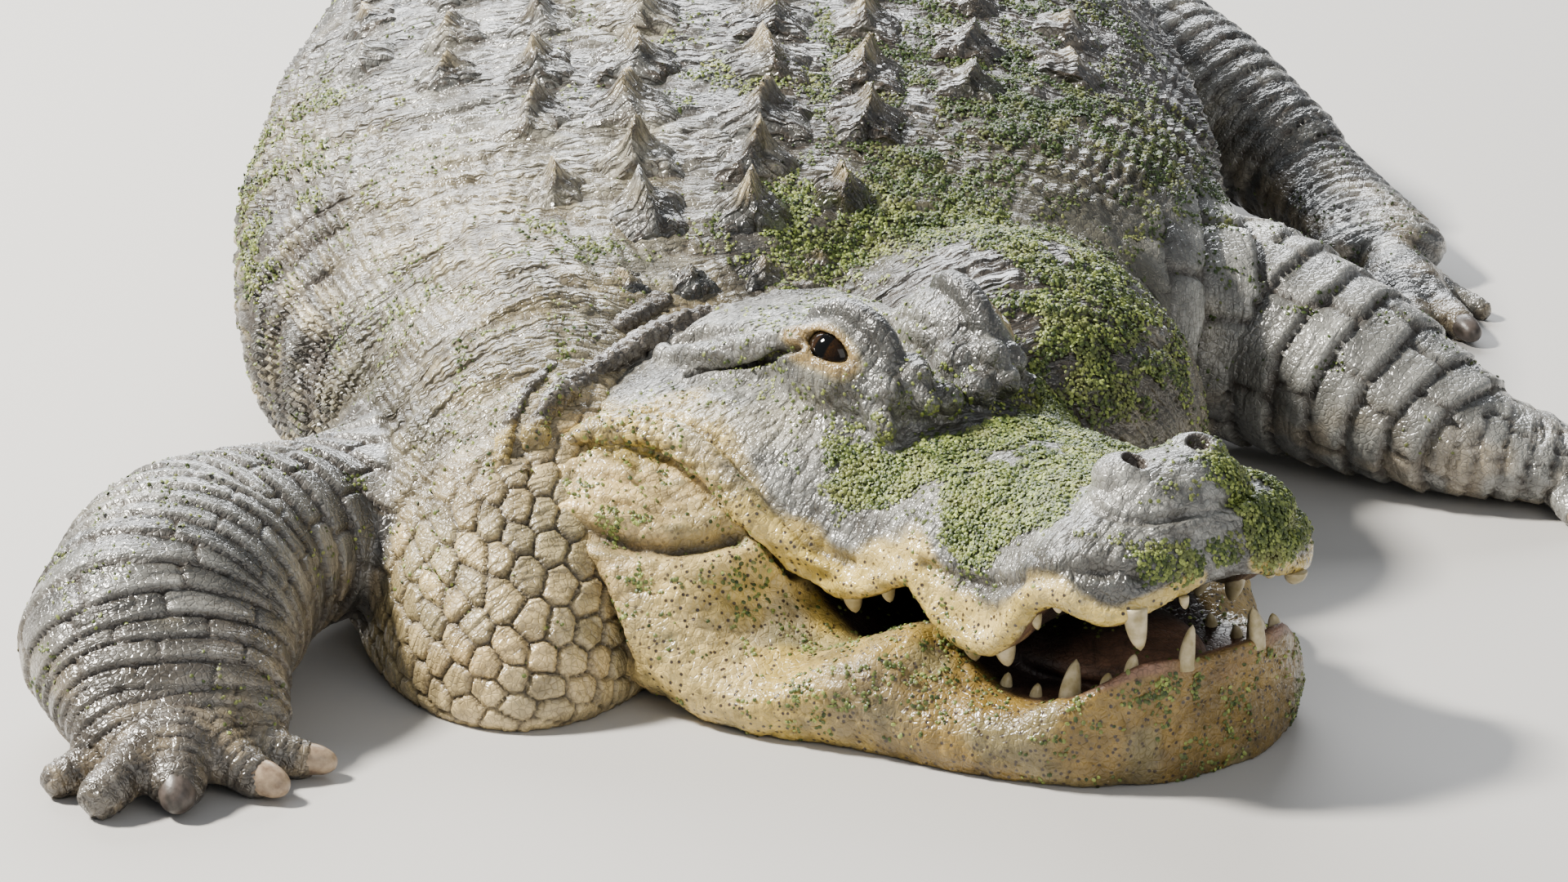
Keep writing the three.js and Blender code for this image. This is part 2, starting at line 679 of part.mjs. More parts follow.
// Length of a limb as a curve, with the half width and half height at each share of it
function limbShape(rows) {
  const points = rows.map(([x, y, z]) => new THREE.Vector3(x, y, z));
  const curve = new THREE.CatmullRomCurve3(points, false, 'centripetal');
  const table = rows.map(([, , , wide, high], i) => [i / (rows.length - 1), wide, high]);
  const frame = (share) => {
    const point = curve.getPoint(share);
    const tangent = curve.getTangent(share);
    const across = new THREE.Vector3(tangent.y, -tangent.x, 0).normalize();
    const up = new THREE.Vector3().crossVectors(across, tangent).normalize();
    if (up.z < 0) up.negate();
    return { point, tangent, across, up, wide: along(table, share, 1), high: along(table, share, 2) };
  };
  return { curve, frame };
}

// Sausage along a limb's curve, with round ends that reach into the lengths it meets
function limbLength(rows, grow = 0) {
  const { curve, frame } = limbShape(rows);
  const steps = Math.max(2, Math.round(curve.getLength() / LIMB_STEP));
  const rings = [];
  const addRing = ({ point, across, up, wide, high }, scale, shift) => {
    const centre = point.clone().add(shift);
    const ring = [];
    for (let i = 0; i < LIMB_SIDES; i += 1) {
      const turn = (2 * Math.PI * i) / LIMB_SIDES;
      const sideways = (wide * scale + grow) * Math.cos(turn);
      const upwards = (high * scale + grow) * Math.sin(turn);
      ring.push(centre.clone().addScaledVector(across, sideways).addScaledVector(up, upwards));
    }
    rings.push(ring);
  };
  const start = frame(0);
  for (const [reach, scale] of ROUND_END) {
    addRing(start, scale, start.tangent.clone().multiplyScalar(-reach * start.high - grow));
  }
  for (let r = 0; r <= steps; r += 1) addRing(frame(r / steps), 1, new THREE.Vector3());
  const end = frame(1);
  for (const [reach, scale] of ROUND_END.toReversed()) {
    addRing(end, scale, end.tangent.clone().multiplyScalar(reach * end.high + grow));
  }
  return solid(loft(rings));
}

// Centre line of a toe, from inside the foot's front edge down to its tip on the floor
function toeCurve(rows, toe) {
  const { point, across, wide } = limbShape(rows).frame(0.8);
  const root = point.clone().addScaledVector(across, wide * toe.across * 0.75);
  root.z = Math.max(toe.radius * 1.1, root.z * 0.9);
  const tip = new THREE.Vector3(toe.tip[0], toe.tip[1], toe.radius * 0.55);
  const knuckle = root.clone().lerp(tip, 0.55);
  knuckle.z = toe.radius * 1.5;
  return new THREE.QuadraticBezierCurve3(root, knuckle, tip);
}

function tube(curve, radiusAt, from, to, steps, sides) {
  const rings = [];
  for (let r = 0; r <= steps; r += 1) {
    const share = THREE.MathUtils.lerp(from, to, r / steps);
    const point = curve.getPoint(share);
    const tangent = curve.getTangent(Math.min(share, 1));
    const across = new THREE.Vector3(tangent.y, -tangent.x, 0).normalize();
    const up = new THREE.Vector3().crossVectors(across, tangent).normalize();
    const radius = radiusAt(share);
    const ring = [];
    for (let i = 0; i < sides; i += 1) {
      const turn = (2 * Math.PI * i) / sides;
      const sideways = point.clone().addScaledVector(across, radius * Math.cos(turn));
      ring.push(sideways.addScaledVector(up, radius * Math.sin(turn)));
    }
    rings.push(ring);
  }
  return solid(loft(rings));
}

function toeSolid(rows, toe, grow = 0) {
  const curve = toeCurve(rows, toe);
  const end = toe.claw ? 0.62 : 0.5;
  const radiusAt = (share) => {
    const swell = 1 + 0.12 * Math.cos(share * Math.PI * 4);
    return toe.radius * swell * THREE.MathUtils.lerp(1.1, end, share ** 2) + grow;
  };
  return tube(curve, radiusAt, 0, 1 + grow / curve.getLength(), TOE_STEPS, TOE_SIDES);
}

function clawSolid(rows, toe) {
  const curve = toeCurve(rows, toe);
  const outward = curve.getTangent(1);
  const tip = curve.getPoint(1);
  const flat = new THREE.Vector3(outward.x, outward.y, 0).normalize();
  const middle = tip.clone().addScaledVector(outward, CLAW_LENGTH * 0.5);
  const end = tip.clone().addScaledVector(flat, CLAW_LENGTH);
  middle.z = tip.z + 3;
  end.z = 3;
  const line = new THREE.QuadraticBezierCurve3(tip.addScaledVector(outward, -1), middle, end);
  const taper = (share) => toe.radius * THREE.MathUtils.lerp(0.6, 0.34, share ** 1.6);
  return tube(line, taper, 0, 1, CLAW_STEPS, CLAW_SIDES);
}

// Parts of the animal
const forms = new Map();
const skullGrown = skullForm(SKIN_CLEARANCE);
const upperTeethGrown = teeth(UPPER_TEETH, upperTooth, -1, SKIN_CLEARANCE);
const jawGrown = jawForm(SKIN_CLEARANCE);
const neckGrown = neckForm(SKIN_CLEARANCE);
const torsoGrown = join([
  bodyLength(BODY_LENGTHS.torso_front, SKIN_CLEARANCE), bodyLength(BODY_LENGTHS.torso_rear, SKIN_CLEARANCE),
]);
const tailGrown = bodyLength(BODY_LENGTHS.tail_base, SKIN_CLEARANCE);

function makeHead() {
  const cuts = [];
  for (const side of [-1, 1]) {
    cuts.push(headBlob(EYE, side, JOINT_GAP, 10, 7));
    cuts.push(headBlob(EYE_OPENING, side, 0, 8, 6), headBlob(NOSTRIL, side, 0, 8, 5));
  }
  const upperTeeth = teeth(UPPER_TEETH, upperTooth, -1).subtract(jawGrown);
  const whole = join([skullForm(0), upperTeeth]);
  forms.set('head', { body: whole.subtract(join(cuts)), skin: SKINS.head });
}

function makeEyes() {
  for (const [name, side] of [['eye_right', -1], ['eye_left', 1]]) {
    const ball = headBlob(EYE, side, 0, 10, 7);
    forms.set(name, { body: ball, skin: SKINS.eye });
  }
}

function makeJaw() {
  const whole = join([jawForm(0), teeth(LOWER_TEETH, lowerTooth, 1)]);
  const looseTeeth = upperTeethGrown.subtract(jawForm(0));
  forms.set('lower_jaw', { body: whole.subtract(skullGrown).subtract(looseTeeth), skin: SKINS.jaw });
}

function makeBody() {
  for (const [name, length] of Object.entries(BODY_LENGTHS)) {
    const isNeck = name === 'neck';
    const plain = isNeck ? neckForm(0) : bodyLength(length);
    const plated = join([plain, scutesOf(name)]);
    const body = isNeck ? plated.subtract(join([skullGrown, upperTeethGrown, jawGrown])) : plated;
    forms.set(name, { body, skin: SKINS.body });
  }
}

function makeLimbs() {
  for (const limb of LIMBS) {
    const neighbours = [torsoGrown, tailGrown, neckGrown, jawGrown];
    for (const [name, rows] of Object.entries(limb)) {
      const toes = TOES[name] ?? [];
      const body = join([limbLength(rows), ...toes.map((toe) => toeSolid(rows, toe))]);
      forms.set(name, { body: aboveFloor(body.subtract(join(neighbours))), skin: SKINS.limb });
      neighbours.push(limbLength(rows, SKIN_CLEARANCE));
      toes.forEach((toe, digit) => {
        if (!toe.claw) return;
        const claw = clawSolid(rows, toe).subtract(toeSolid(rows, toe, SKIN_CLEARANCE));
        forms.set(`claw_${name}_${digit + 1}`, { body: aboveFloor(claw), skin: SKINS.claw });
      });
    }
  }
}

makeHead();
makeEyes();
makeJaw();
makeBody();
makeLimbs();

function meshOf(name, body, skin) {
  const { numProp, vertProperties, triVerts } = largest(body).getMesh();
  const geometry = new THREE.BufferGeometry();
  const positions = new Float32Array((vertProperties.length / numProp) * 3);
  for (let i = 0; i < positions.length / 3; i += 1) {
    for (let k = 0; k < 3; k += 1) positions[3 * i + k] = vertProperties[numProp * i + k];
  }
  geometry.setAttribute('position', new THREE.BufferAttribute(positions, 3));
  geometry.setIndex(new THREE.BufferAttribute(new Uint32Array(triVerts), 1));
  geometry.computeVertexNormals();
  const mesh = new THREE.Mesh(geometry, new THREE.MeshStandardMaterial(skin));
  mesh.name = name;
  return mesh;
}

const alligator = new THREE.Group();
for (const [name, { body, skin }] of forms) alligator.add(meshOf(name, body, skin));
alligator.position.set(-BELLY_POINT[0], -BELLY_POINT[1], 0);

export default alligator;
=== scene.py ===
"""American alligator, adult, life size, lying on the floor. Metres, +Z up, head towards -Y.

Forms are made on a floor plan whose point BELLY lies at the frame's origin. The head has a frame of
its own: f back from the snout tip, l to the animal's left and h up from the plane of the upper jaw.
"""
import math

import bmesh
import bpy
import numpy as np
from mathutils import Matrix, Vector


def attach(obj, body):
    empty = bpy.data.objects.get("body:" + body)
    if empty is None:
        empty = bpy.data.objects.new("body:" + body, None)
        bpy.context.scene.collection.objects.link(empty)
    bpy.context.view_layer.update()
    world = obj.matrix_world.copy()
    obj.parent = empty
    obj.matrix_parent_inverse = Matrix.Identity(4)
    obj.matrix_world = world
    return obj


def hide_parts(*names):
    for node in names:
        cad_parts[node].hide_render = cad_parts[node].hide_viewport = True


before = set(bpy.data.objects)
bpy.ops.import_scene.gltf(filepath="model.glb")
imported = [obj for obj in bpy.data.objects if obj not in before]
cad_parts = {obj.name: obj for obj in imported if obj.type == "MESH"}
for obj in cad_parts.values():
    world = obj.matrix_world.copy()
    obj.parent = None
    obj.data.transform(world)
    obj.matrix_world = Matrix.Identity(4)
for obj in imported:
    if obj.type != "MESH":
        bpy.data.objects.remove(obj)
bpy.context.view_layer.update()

# Whole animal
BELLY = np.array([-0.050, 0.500, 0.0])
FLESH = [
    "head", "lower_jaw", "neck", "torso_front", "torso_rear", "tail_base", "tail_middle", "tail_tip",
    "upper_arm_right", "forearm_right", "hand_right", "upper_arm_left", "forearm_left", "hand_left",
    "thigh_right", "shank_right", "foot_right", "thigh_left", "shank_left", "foot_left",
]
HEAD_VOXEL = 0.0019
BODY_VOXEL = 0.0043
KNIFE_VOXEL = 0.0008
FLOOR_LIFT = 0.0006
RING_STEP = 0.006
FINE_BALL = {"around": 60, "down": 40}

# Head frame
SNOUT_TIP = (0.261, -0.308)
HEAD_YAW = math.radians(38.6)
HEAD_PITCH = math.radians(6.1)
HINGE_BACK = 0.470
HINGE_HEIGHT = 0.057

# Upper jaw and skull: f, half width at the lip, height of the lip, height of the top, squareness
SKULL = [
    (0, 0.026, 0.01, 0.026, 2), (0.005, 0.052, 0.004, 0.042, 2.2), (0.016, 0.076, -0.002, 0.055, 2.4),
    (0.042, 0.094, 0.011, 0.062, 2.5), (0.062, 0.099, 0.004, 0.062, 2.5),
    (0.082, 0.101, -0.018, 0.06, 2.4), (0.105, 0.101, -0.028, 0.06, 2.3),
    (0.13, 0.101, -0.027, 0.061, 2.2), (0.15, 0.101, -0.014, 0.063, 2.2),
    (0.165, 0.102, 0.003, 0.064, 2.2), (0.185, 0.104, -0.002, 0.066, 2.2),
    (0.205, 0.107, -0.01, 0.069, 2.2), (0.228, 0.112, -0.014, 0.076, 2.1),
    (0.25, 0.118, -0.006, 0.086, 2.1), (0.275, 0.127, 0.014, 0.094, 2.1),
    (0.305, 0.139, 0.041, 0.1, 2.1), (0.335, 0.153, 0.058, 0.103, 2), (0.365, 0.167, 0.068, 0.104, 2),
    (0.4, 0.18, 0.068, 0.106, 1.9), (0.43, 0.184, 0.058, 0.106, 1.9), (0.47, 0.176, 0.044, 0.098, 1.9),
]
PALATE_DEPTH = 0.012
LIP_THICKNESS = 0.13
LIP_INNER = 0.86

# Lower jaw: f, half width at the lip, height of the lip above the floor, widest half width
JAW = [
    (0.004, 0.024, 0.078, 0.03), (0.012, 0.05, 0.078, 0.058), (0.028, 0.068, 0.066, 0.084),
    (0.048, 0.08, 0.052, 0.104), (0.075, 0.088, 0.044, 0.118), (0.1, 0.09, 0.043, 0.13),
    (0.13, 0.093, 0.054, 0.144), (0.156, 0.095, 0.07, 0.158), (0.182, 0.1, 0.062, 0.172),
    (0.221, 0.108, 0.042, 0.192), (0.248, 0.114, 0.054, 0.202), (0.284, 0.126, 0.096, 0.212),
    (0.33, 0.146, 0.126, 0.22), (0.37, 0.164, 0.138, 0.224), (0.41, 0.178, 0.134, 0.222),
    (0.455, 0.178, 0.116, 0.21),
]
JAW_WIDEST_HEIGHT = 0.42
JAW_BELOW_FLOOR = 0.030
MOUTH_FLOOR_DEPTH = 0.005
TONGUE = ((0.150, 0, 0.050), (0.115, 0.060, 0.017))
CHEEK_PAD = ((0.372, 0.176, 0.026), (0.064, 0.034, 0.032))

# Round forms of the head: place (f, l, h) and radii, for one side; the other mirrors them
EYE = (0.290, 0.050, 0.114)
EYE_RADIUS = 0.020
EYE_MOUND = ((0.297, 0.046, 0.102), (0.048, 0.033, 0.036))
MOUND_FRONT = ((0.268, 0.038, 0.092), (0.034, 0.028, 0.026))
NOSE_BUMP = ((0.052, 0, 0.056), (0.038, 0.053, 0.027))
NOSTRIL_DISC = ((0.057, 0.028, 0.072), (0.020, 0.018, 0.0145))
NOSTRIL = ((0.0480, 0.025, 0.087), (0.0080, 0.0075, 0.0160))
EAR_FLAP = ((0.366, 0.069, 0.103), (0.042, 0.010, 0.009))
BROW_KNOBS = [
    ((0.246, 0.030, 0.103), (0.016, 0.010, 0.012)), ((0.249, 0.048, 0.097), (0.013, 0.009, 0.011)),
    ((0.238, 0.014, 0.088), (0.013, 0.010, 0.010)), ((0.234, 0.032, 0.091), (0.012, 0.008, 0.010)),
    ((0.252, 0.054, 0.086), (0.009, 0.008, 0.012)), ((0.262, 0.018, 0.101), (0.014, 0.011, 0.012)),
    ((0.240, 0.058, 0.079), (0.009, 0.006, 0.010)),
]
KNOB_GROWTH = 1.14

# Eye: the way it looks (f, l, h), the slant and the half length of its opening, and its half heights
GAZE = (-0.25, 0.80, 0.52)
EYE_SLANT = math.radians(-10)
OPEN_HALF = 0.0270
OPEN_UPPER = 0.0086
OPEN_LOWER = 0.0074
LID_RADIUS = 0.0232
LID_SINK = 0.0006

# Rolls of the eyelids: size against the opening, angles that they run between, half thickness
LID_ROLLS = [
    (1.28, (0.15, np.pi - 0.05), 0.0024), (1.75, (0.10, np.pi - 0.10), 0.0020),
    (1.28, (-0.10, -np.pi + 0.05), 0.0021), (1.80, (-0.20, -np.pi + 0.10), 0.0026),
]

# Rolls of skin on the head's right side, mirrored on the left: points (f, l, h) and half thickness
ROLLS = {
    "brow": [
        (0.322, -0.052, 0.130, 0.004), (0.305, -0.047, 0.139, 0.007), (0.291, -0.043, 0.142, 0.0080),
        (0.276, -0.041, 0.139, 0.0085), (0.263, -0.039, 0.131, 0.0090), (0.254, -0.038, 0.119, 0.0085),
        (0.253, -0.043, 0.104, 0.006), (0.256, -0.049, 0.094, 0.004)],
    "ear": [
        (0.440, -0.082, 0.098, 0.004), (0.405, -0.086, 0.105, 0.007), (0.375, -0.083, 0.110, 0.0085),
        (0.345, -0.073, 0.117, 0.0085), (0.318, -0.063, 0.126, 0.0065), (0.302, -0.062, 0.131, 0.004)],
    "nape": [
        (0.378, -0.224, 0.059, 0.005), (0.396, -0.206, 0.076, 0.006), (0.408, -0.184, 0.091, 0.0065),
        (0.419, -0.153, 0.099, 0.0065), (0.433, -0.114, 0.103, 0.0065), (0.446, -0.069, 0.110, 0.006),
        (0.448, -0.023, 0.117, 0.005)],
    "nape_outer": [
        (0.385, -0.232, 0.045, 0.005), (0.402, -0.222, 0.068, 0.006), (0.420, -0.200, 0.088, 0.0070),
        (0.434, -0.174, 0.100, 0.0075), (0.450, -0.131, 0.108, 0.0075), (0.466, -0.084, 0.114, 0.0075),
        (0.480, -0.042, 0.118, 0.007), (0.484, -0.002, 0.121, 0.006), (0.480, 0.060, 0.124, 0.005)],
    "corner": [
        (0.388, -0.190, 0.068, 0.006), (0.370, -0.166, 0.079, 0.010), (0.344, -0.149, 0.077, 0.011),
        (0.315, -0.138, 0.063, 0.011), (0.290, -0.131, 0.044, 0.010), (0.268, -0.121, 0.023, 0.009),
        (0.240, -0.112, 0.006, 0.007), (0.215, -0.106, 0.000, 0.005)],
}
LIP_ROLL = 0.0065
SKULL_TABLE = {
    "front": 0.330, "back": 0.452, "half_front": 0.050, "half_back": 0.070, "top": 0.122, "bottom": 0.080}

# Teeth: f, length, thickness, from the snout back; the same list serves both sides
UPPER_TEETH = [
    (0.002, 0.006, 0.006), (0.012, 0.02, 0.014), (0.029, 0.006, 0.008), (0.052, 0.007, 0.007),
    (0.069, 0.008, 0.007), (0.098, 0.012, 0.013), (0.128, 0.014, 0.014), (0.144, 0.007, 0.007),
    (0.199, 0.008, 0.009), (0.227, 0.013, 0.013), (0.25, 0.006, 0.008),
]
LOWER_TEETH = [
    (0.006, 0.018, 0.01), (0.022, 0.009, 0.009), (0.034, 0.006, 0.008), (0.056, 0.022, 0.014),
    (0.08, 0.007, 0.008), (0.105, 0.007, 0.008),
]
TOOTH_INSET = 0.1

# Share of an upper tooth's length that shows, and the same for the foremost ones on the left
TOOTH_SHOWN = 0.92
FRONT_TOOTH_SHOWN = 0.25
FRONT_TEETH_END = 0.03

# Spine on the floor plan, from the back of the skull to the tip of the tail
SPINE = [
    (-0.02, 0.044), (-0.044, 0.105), (-0.046, 0.19), (-0.036, 0.32), (-0.028, 0.5), (-0.026, 0.7),
    (-0.032, 0.88), (-0.05, 1.04), (-0.072, 1.18), (-0.062, 1.4), (0, 1.64), (0.11, 1.89), (0.23, 2.14),
    (0.31, 2.4), (0.322, 2.65),
]
SPINE_POINTS = 2400

# Body: distance behind the skull, half width, height of the back, height of the widest part,
# squareness above, sink of the underside below the floor
BODY = [
    (-0.04, 0.16, 0.146, 0.08, 2.2, 0.05), (0, 0.186, 0.166, 0.084, 2.2, 0.06),
    (0.05, 0.234, 0.19, 0.092, 2.2, 0.07), (0.11, 0.28, 0.216, 0.104, 2.2, 0.08),
    (0.19, 0.316, 0.24, 0.118, 2.2, 0.09), (0.29, 0.33, 0.262, 0.13, 2.3, 0.096),
    (0.4, 0.326, 0.282, 0.138, 2.4, 0.1), (0.5, 0.314, 0.294, 0.142, 2.5, 0.104),
    (0.62, 0.296, 0.3, 0.144, 2.5, 0.104), (0.74, 0.272, 0.296, 0.14, 2.5, 0.1),
    (0.85, 0.254, 0.284, 0.134, 2.4, 0.09), (0.95, 0.226, 0.266, 0.126, 2.4, 0.08),
    (1.03, 0.2, 0.244, 0.116, 2.3, 0.07), (1.1, 0.168, 0.226, 0.108, 2.2, 0.06),
    (1.2, 0.14, 0.208, 0.098, 2.2, 0.046), (1.4, 0.108, 0.176, 0.08, 2.1, 0.03),
    (1.65, 0.08, 0.142, 0.062, 2, 0.022), (1.9, 0.058, 0.112, 0.048, 2, 0.016),
    (2.15, 0.04, 0.086, 0.036, 2, 0.012), (2.4, 0.025, 0.058, 0.024, 2, 0.008),
    (2.6, 0.013, 0.032, 0.013, 2, 0.005), (2.69, 0.006, 0.016, 0.006, 2, 0.003),
]
BODY_FROM = -0.030
TRUNK_END = 1.105
TAIL_END = 2.690
RIDGE_LEAN = 0.026
JOWLS = [
    {"at": (-0.160, -0.017, 0.060), "radii": (0.116, 0.248, 0.152), "lean": 0.7},
    {"at": (0.134, 0.084, 0.084), "radii": (0.138, 0.150, 0.120), "lean": 0.0},
]

# Limbs: points of the centre line (x, y, z) with half width and half height; toes below
LIMBS = {
    "arm_right": [
        [(-0.200, 0.060, 0.058, 0.062, 0.050), (-0.264, -0.036, 0.064, 0.060, 0.054),
         (-0.318, -0.118, 0.074, 0.066, 0.060), (-0.350, -0.164, 0.072, 0.076, 0.070)],
        [(-0.358, -0.182, 0.070, 0.080, 0.072), (-0.370, -0.236, 0.058, 0.082, 0.062),
         (-0.362, -0.276, 0.042, 0.072, 0.046)],
        [(-0.360, -0.284, 0.038, 0.068, 0.038), (-0.352, -0.306, 0.030, 0.066, 0.030)],
    ],
    "arm_left": [
        [(0.110, 0.200, 0.112, 0.084, 0.076), (0.200, 0.254, 0.104, 0.078, 0.072),
         (0.290, 0.282, 0.086, 0.076, 0.074)],
        [(0.318, 0.276, 0.078, 0.074, 0.072), (0.380, 0.228, 0.062, 0.066, 0.060),
         (0.432, 0.192, 0.044, 0.054, 0.042)],
        [(0.448, 0.188, 0.036, 0.050, 0.034), (0.496, 0.184, 0.026, 0.052, 0.026)],
    ],
    "leg_right": [
        [(-0.110, 1.040, 0.118, 0.096, 0.092), (-0.195, 1.024, 0.122, 0.086, 0.082),
         (-0.264, 1.034, 0.112, 0.070, 0.068)],
        [(-0.276, 1.050, 0.104, 0.062, 0.060), (-0.288, 1.104, 0.074, 0.054, 0.050),
         (-0.282, 1.162, 0.048, 0.044, 0.038)],
        [(-0.282, 1.174, 0.040, 0.042, 0.032), (-0.290, 1.222, 0.029, 0.046, 0.026),
         (-0.296, 1.258, 0.024, 0.048, 0.022)],
    ],
    "leg_left": [
        [(0.040, 1.010, 0.120, 0.100, 0.096), (0.130, 0.958, 0.124, 0.090, 0.086),
         (0.212, 0.905, 0.120, 0.076, 0.074)],
        [(0.232, 0.890, 0.114, 0.070, 0.066), (0.302, 0.828, 0.090, 0.062, 0.058),
         (0.366, 0.764, 0.056, 0.050, 0.044)],
        [(0.376, 0.750, 0.048, 0.046, 0.038), (0.410, 0.690, 0.034, 0.046, 0.028),
         (0.430, 0.634, 0.025, 0.048, 0.022)],
    ],
}
# Toes: place across the foot, tip on the floor plan, half thickness, claw node or none
TOES = {
    "arm_right": [
        (0.85, (-0.280, -0.314), 0.018, "claw_hand_right_1"),
        (0.45, (-0.304, -0.346), 0.020, "claw_hand_right_2"),
        (0, (-0.350, -0.366), 0.023, "claw_hand_right_3"),
        (-0.45, (-0.396, -0.378), 0.021, None), (-0.88, (-0.424, -0.346), 0.018, None),
    ],
    "arm_left": [
        (-0.85, (0.512, 0.118), 0.016, "claw_hand_left_1"),
        (-0.42, (0.560, 0.134), 0.018, "claw_hand_left_2"),
        (0.05, (0.578, 0.178), 0.019, "claw_hand_left_3"),
        (0.5, (0.568, 0.222), 0.016, None), (0.9, (0.536, 0.250), 0.014, None),
    ],
    "leg_right": [
        (0.8, (-0.236, 1.318), 0.015, "claw_foot_right_1"),
        (0.28, (-0.274, 1.346), 0.017, "claw_foot_right_2"),
        (-0.28, (-0.314, 1.344), 0.017, "claw_foot_right_3"), (-0.8, (-0.342, 1.308), 0.013, None),
    ],
    "leg_left": [
        (-0.8, (0.408, 0.526), 0.015, "claw_foot_left_1"), (-0.28, (0.442, 0.494), 0.017, "claw_foot_left_2"),
        (0.28, (0.476, 0.506), 0.017, "claw_foot_left_3"), (0.8, (0.496, 0.552), 0.013, None),
    ],
}
CLAW_LENGTH = 0.020
LIMB_MARGIN = 0.13

# Places where the skin is drawn smoothly from the trunk to a limb
JOINTS = [(-0.16, 0.16, 0.12), (0.14, 0.22, 0.14), (0.05, 1.0, 0.12), (-0.12, 1.04, 0.12), (0.30, 0.28, 0.08)]
JOINT_REACH = 0.10

# Scales of the limbs: length of a band and number of scales round, for each length and the toes
LIMB_SCALES = {
    "arm_right": [(0.0200, 8), (0.0150, 8), (0.0100, 8), (0.0070, 3)],
    "arm_left": [(0.0400, 6), (0.0280, 6), (0.0160, 7), (0.0080, 3)],
    "leg_right": [(0.0180, 10), (0.0150, 9), (0.0100, 9), (0.0060, 3)],
    "leg_left": [(0.0180, 10), (0.0150, 9), (0.0100, 9), (0.0060, 3)],
}

# Plates of the back: start, end and number of the cross rows of each length of the body, then the
# columns across from the ridge with the part of the trunk that they cover and their share of a row
ROW_SPANS = [(0.170, 0.620, 7), (0.620, 1.105, 8), (1.105, 1.640, 8), (1.640, 2.170, 8), (2.170, 2.690, 8)]
BACK_COLUMNS = [
    {"across": 0.044, "width": 0.078, "keel": 0.020, "from": 0, "to": TRUNK_END, "share": 1},
    {"across": 0.108, "width": 0.062, "keel": 0.018, "from": 0, "to": TRUNK_END, "share": 1},
    {"across": 0.172, "width": 0.058, "keel": 0.013, "from": 0.25, "to": 0.96, "share": 0.72},
    {"across": 0.236, "width": 0.054, "keel": 0.009, "from": 0.28, "to": 0.86, "share": 0.72},
]
BACK_HALF_WIDTH = 0.270

# Plates of the neck: distance behind the skull, place across, length, width, height of the keel
NECK_PLATES = [
    (0.034, 0.024, 0.026, 0.036, 0.008), (0.040, 0.066, 0.026, 0.038, 0.008),
    (0.092, 0.034, 0.052, 0.058, 0.022), (0.146, 0.038, 0.046, 0.062, 0.024),
    (0.118, 0.092, 0.044, 0.044, 0.016),
]
PLATE_POINTS = 21
PLATE_LIFT = 0.0022
PLATE_ROUGH = 0.0022
PLATE_COVER = 0.94
PLATE_WIDTH = 0.96
PLATE_ROOT = 0.005
CREST_COVER = 0.96
CREST_ROOT = 0.006
CREST_MEETS = 1.900
CREST_PAIR = (0.020, 0.034)
CREST_SINGLE = (0.040, 0.014)
CREST_WIDTH = 0.026
CREST_SPREAD = 0.6

# Camera of the photograph
CAMERA_TARGET = Vector((0.050, -0.500, 0.100))
CAMERA_ELEVATION = math.radians(19)
CAMERA_DISTANCE = 4.2
CAMERA_VIEW = math.radians(13.303)

# Numbers for irregular forms, and the distance that stands for none found yet
NUMBERS = 4096
JITTER = np.random.default_rng(11).random((NUMBERS, 2))
FAR = 9.0


def smooth(low, high, value):
    t = np.clip((value - low) / (high - low), 0, 1)
    return t * t * (3 - 2 * t)


def lerp(a, b, t):
    return a + (b - a) * t


def most(*shares):
    """The greatest of several shares at each point."""
    return np.maximum.reduce(shares)


def unit(ways):
    return ways / np.linalg.norm(ways, axis=-1)[..., None]


def circle(count):
    """Angles once round, evenly spaced."""
    return np.linspace(0, 2 * np.pi, count, endpoint=False)


def column(table, places, index):
    """A column between the rows of a table, as a smooth curve that never overshoots them."""
    rows = np.asarray(table, float)
    x, y = rows[:, 0], rows[:, index]
    rise = np.diff(y) / np.diff(x)
    slope = np.concatenate([rise[:1], np.zeros(len(x) - 2), rise[-1:]])
    before, after = rise[:-1], rise[1:]
    same = before * after > 0
    slope[1:-1] = np.where(same, 2 * before * after / np.where(same, before + after, 1), 0)
    places = np.clip(places, x[0], x[-1])
    row = np.clip(np.searchsorted(x, places) - 1, 0, len(x) - 2)
    span = x[row + 1] - x[row]
    t = (places - x[row]) / span
    return ((1 + 2 * t) * (1 - t) ** 2 * y[row] + t * (1 - t) ** 2 * span * slope[row]
            + t * t * (3 - 2 * t) * y[row + 1] + t * t * (t - 1) * span * slope[row + 1])


def signed_power(value, power):
    return np.sign(value) * np.abs(value) ** power


def smooth_curve(points, count):
    """Places and directions along a centripetal Catmull-Rom curve, evenly spaced in its parameter."""
    p = np.asarray(points, float)
    p = np.vstack([2 * p[0] - p[1], p, 2 * p[-1] - p[-2]])
    share = np.linspace(0, len(p) - 3, count)
    row = np.minimum(share.astype(int), len(p) - 4)
    t = (share - row)[:, None]
    p0, p1, p2, p3 = p[row], p[row + 1], p[row + 2], p[row + 3]
    d0, d1, d2 = (np.linalg.norm(b - a, axis=1)[:, None] ** 0.5 for a, b in ((p0, p1), (p1, p2), (p2, p3)))
    m1 = ((p1 - p0) / d0 - (p2 - p0) / (d0 + d1) + (p2 - p1) / d1) * d1
    m2 = ((p2 - p1) / d1 - (p3 - p1) / (d1 + d2) + (p3 - p2) / d2) * d1
    c2 = -3 * p1 + 3 * p2 - 2 * m1 - m2
    c3 = 2 * p1 - 2 * p2 + m1 + m2
    place = p1 + m1 * t + c2 * t ** 2 + c3 * t ** 3
    direction = m1 + 2 * c2 * t + 3 * c3 * t ** 2
    return place, unit(direction)


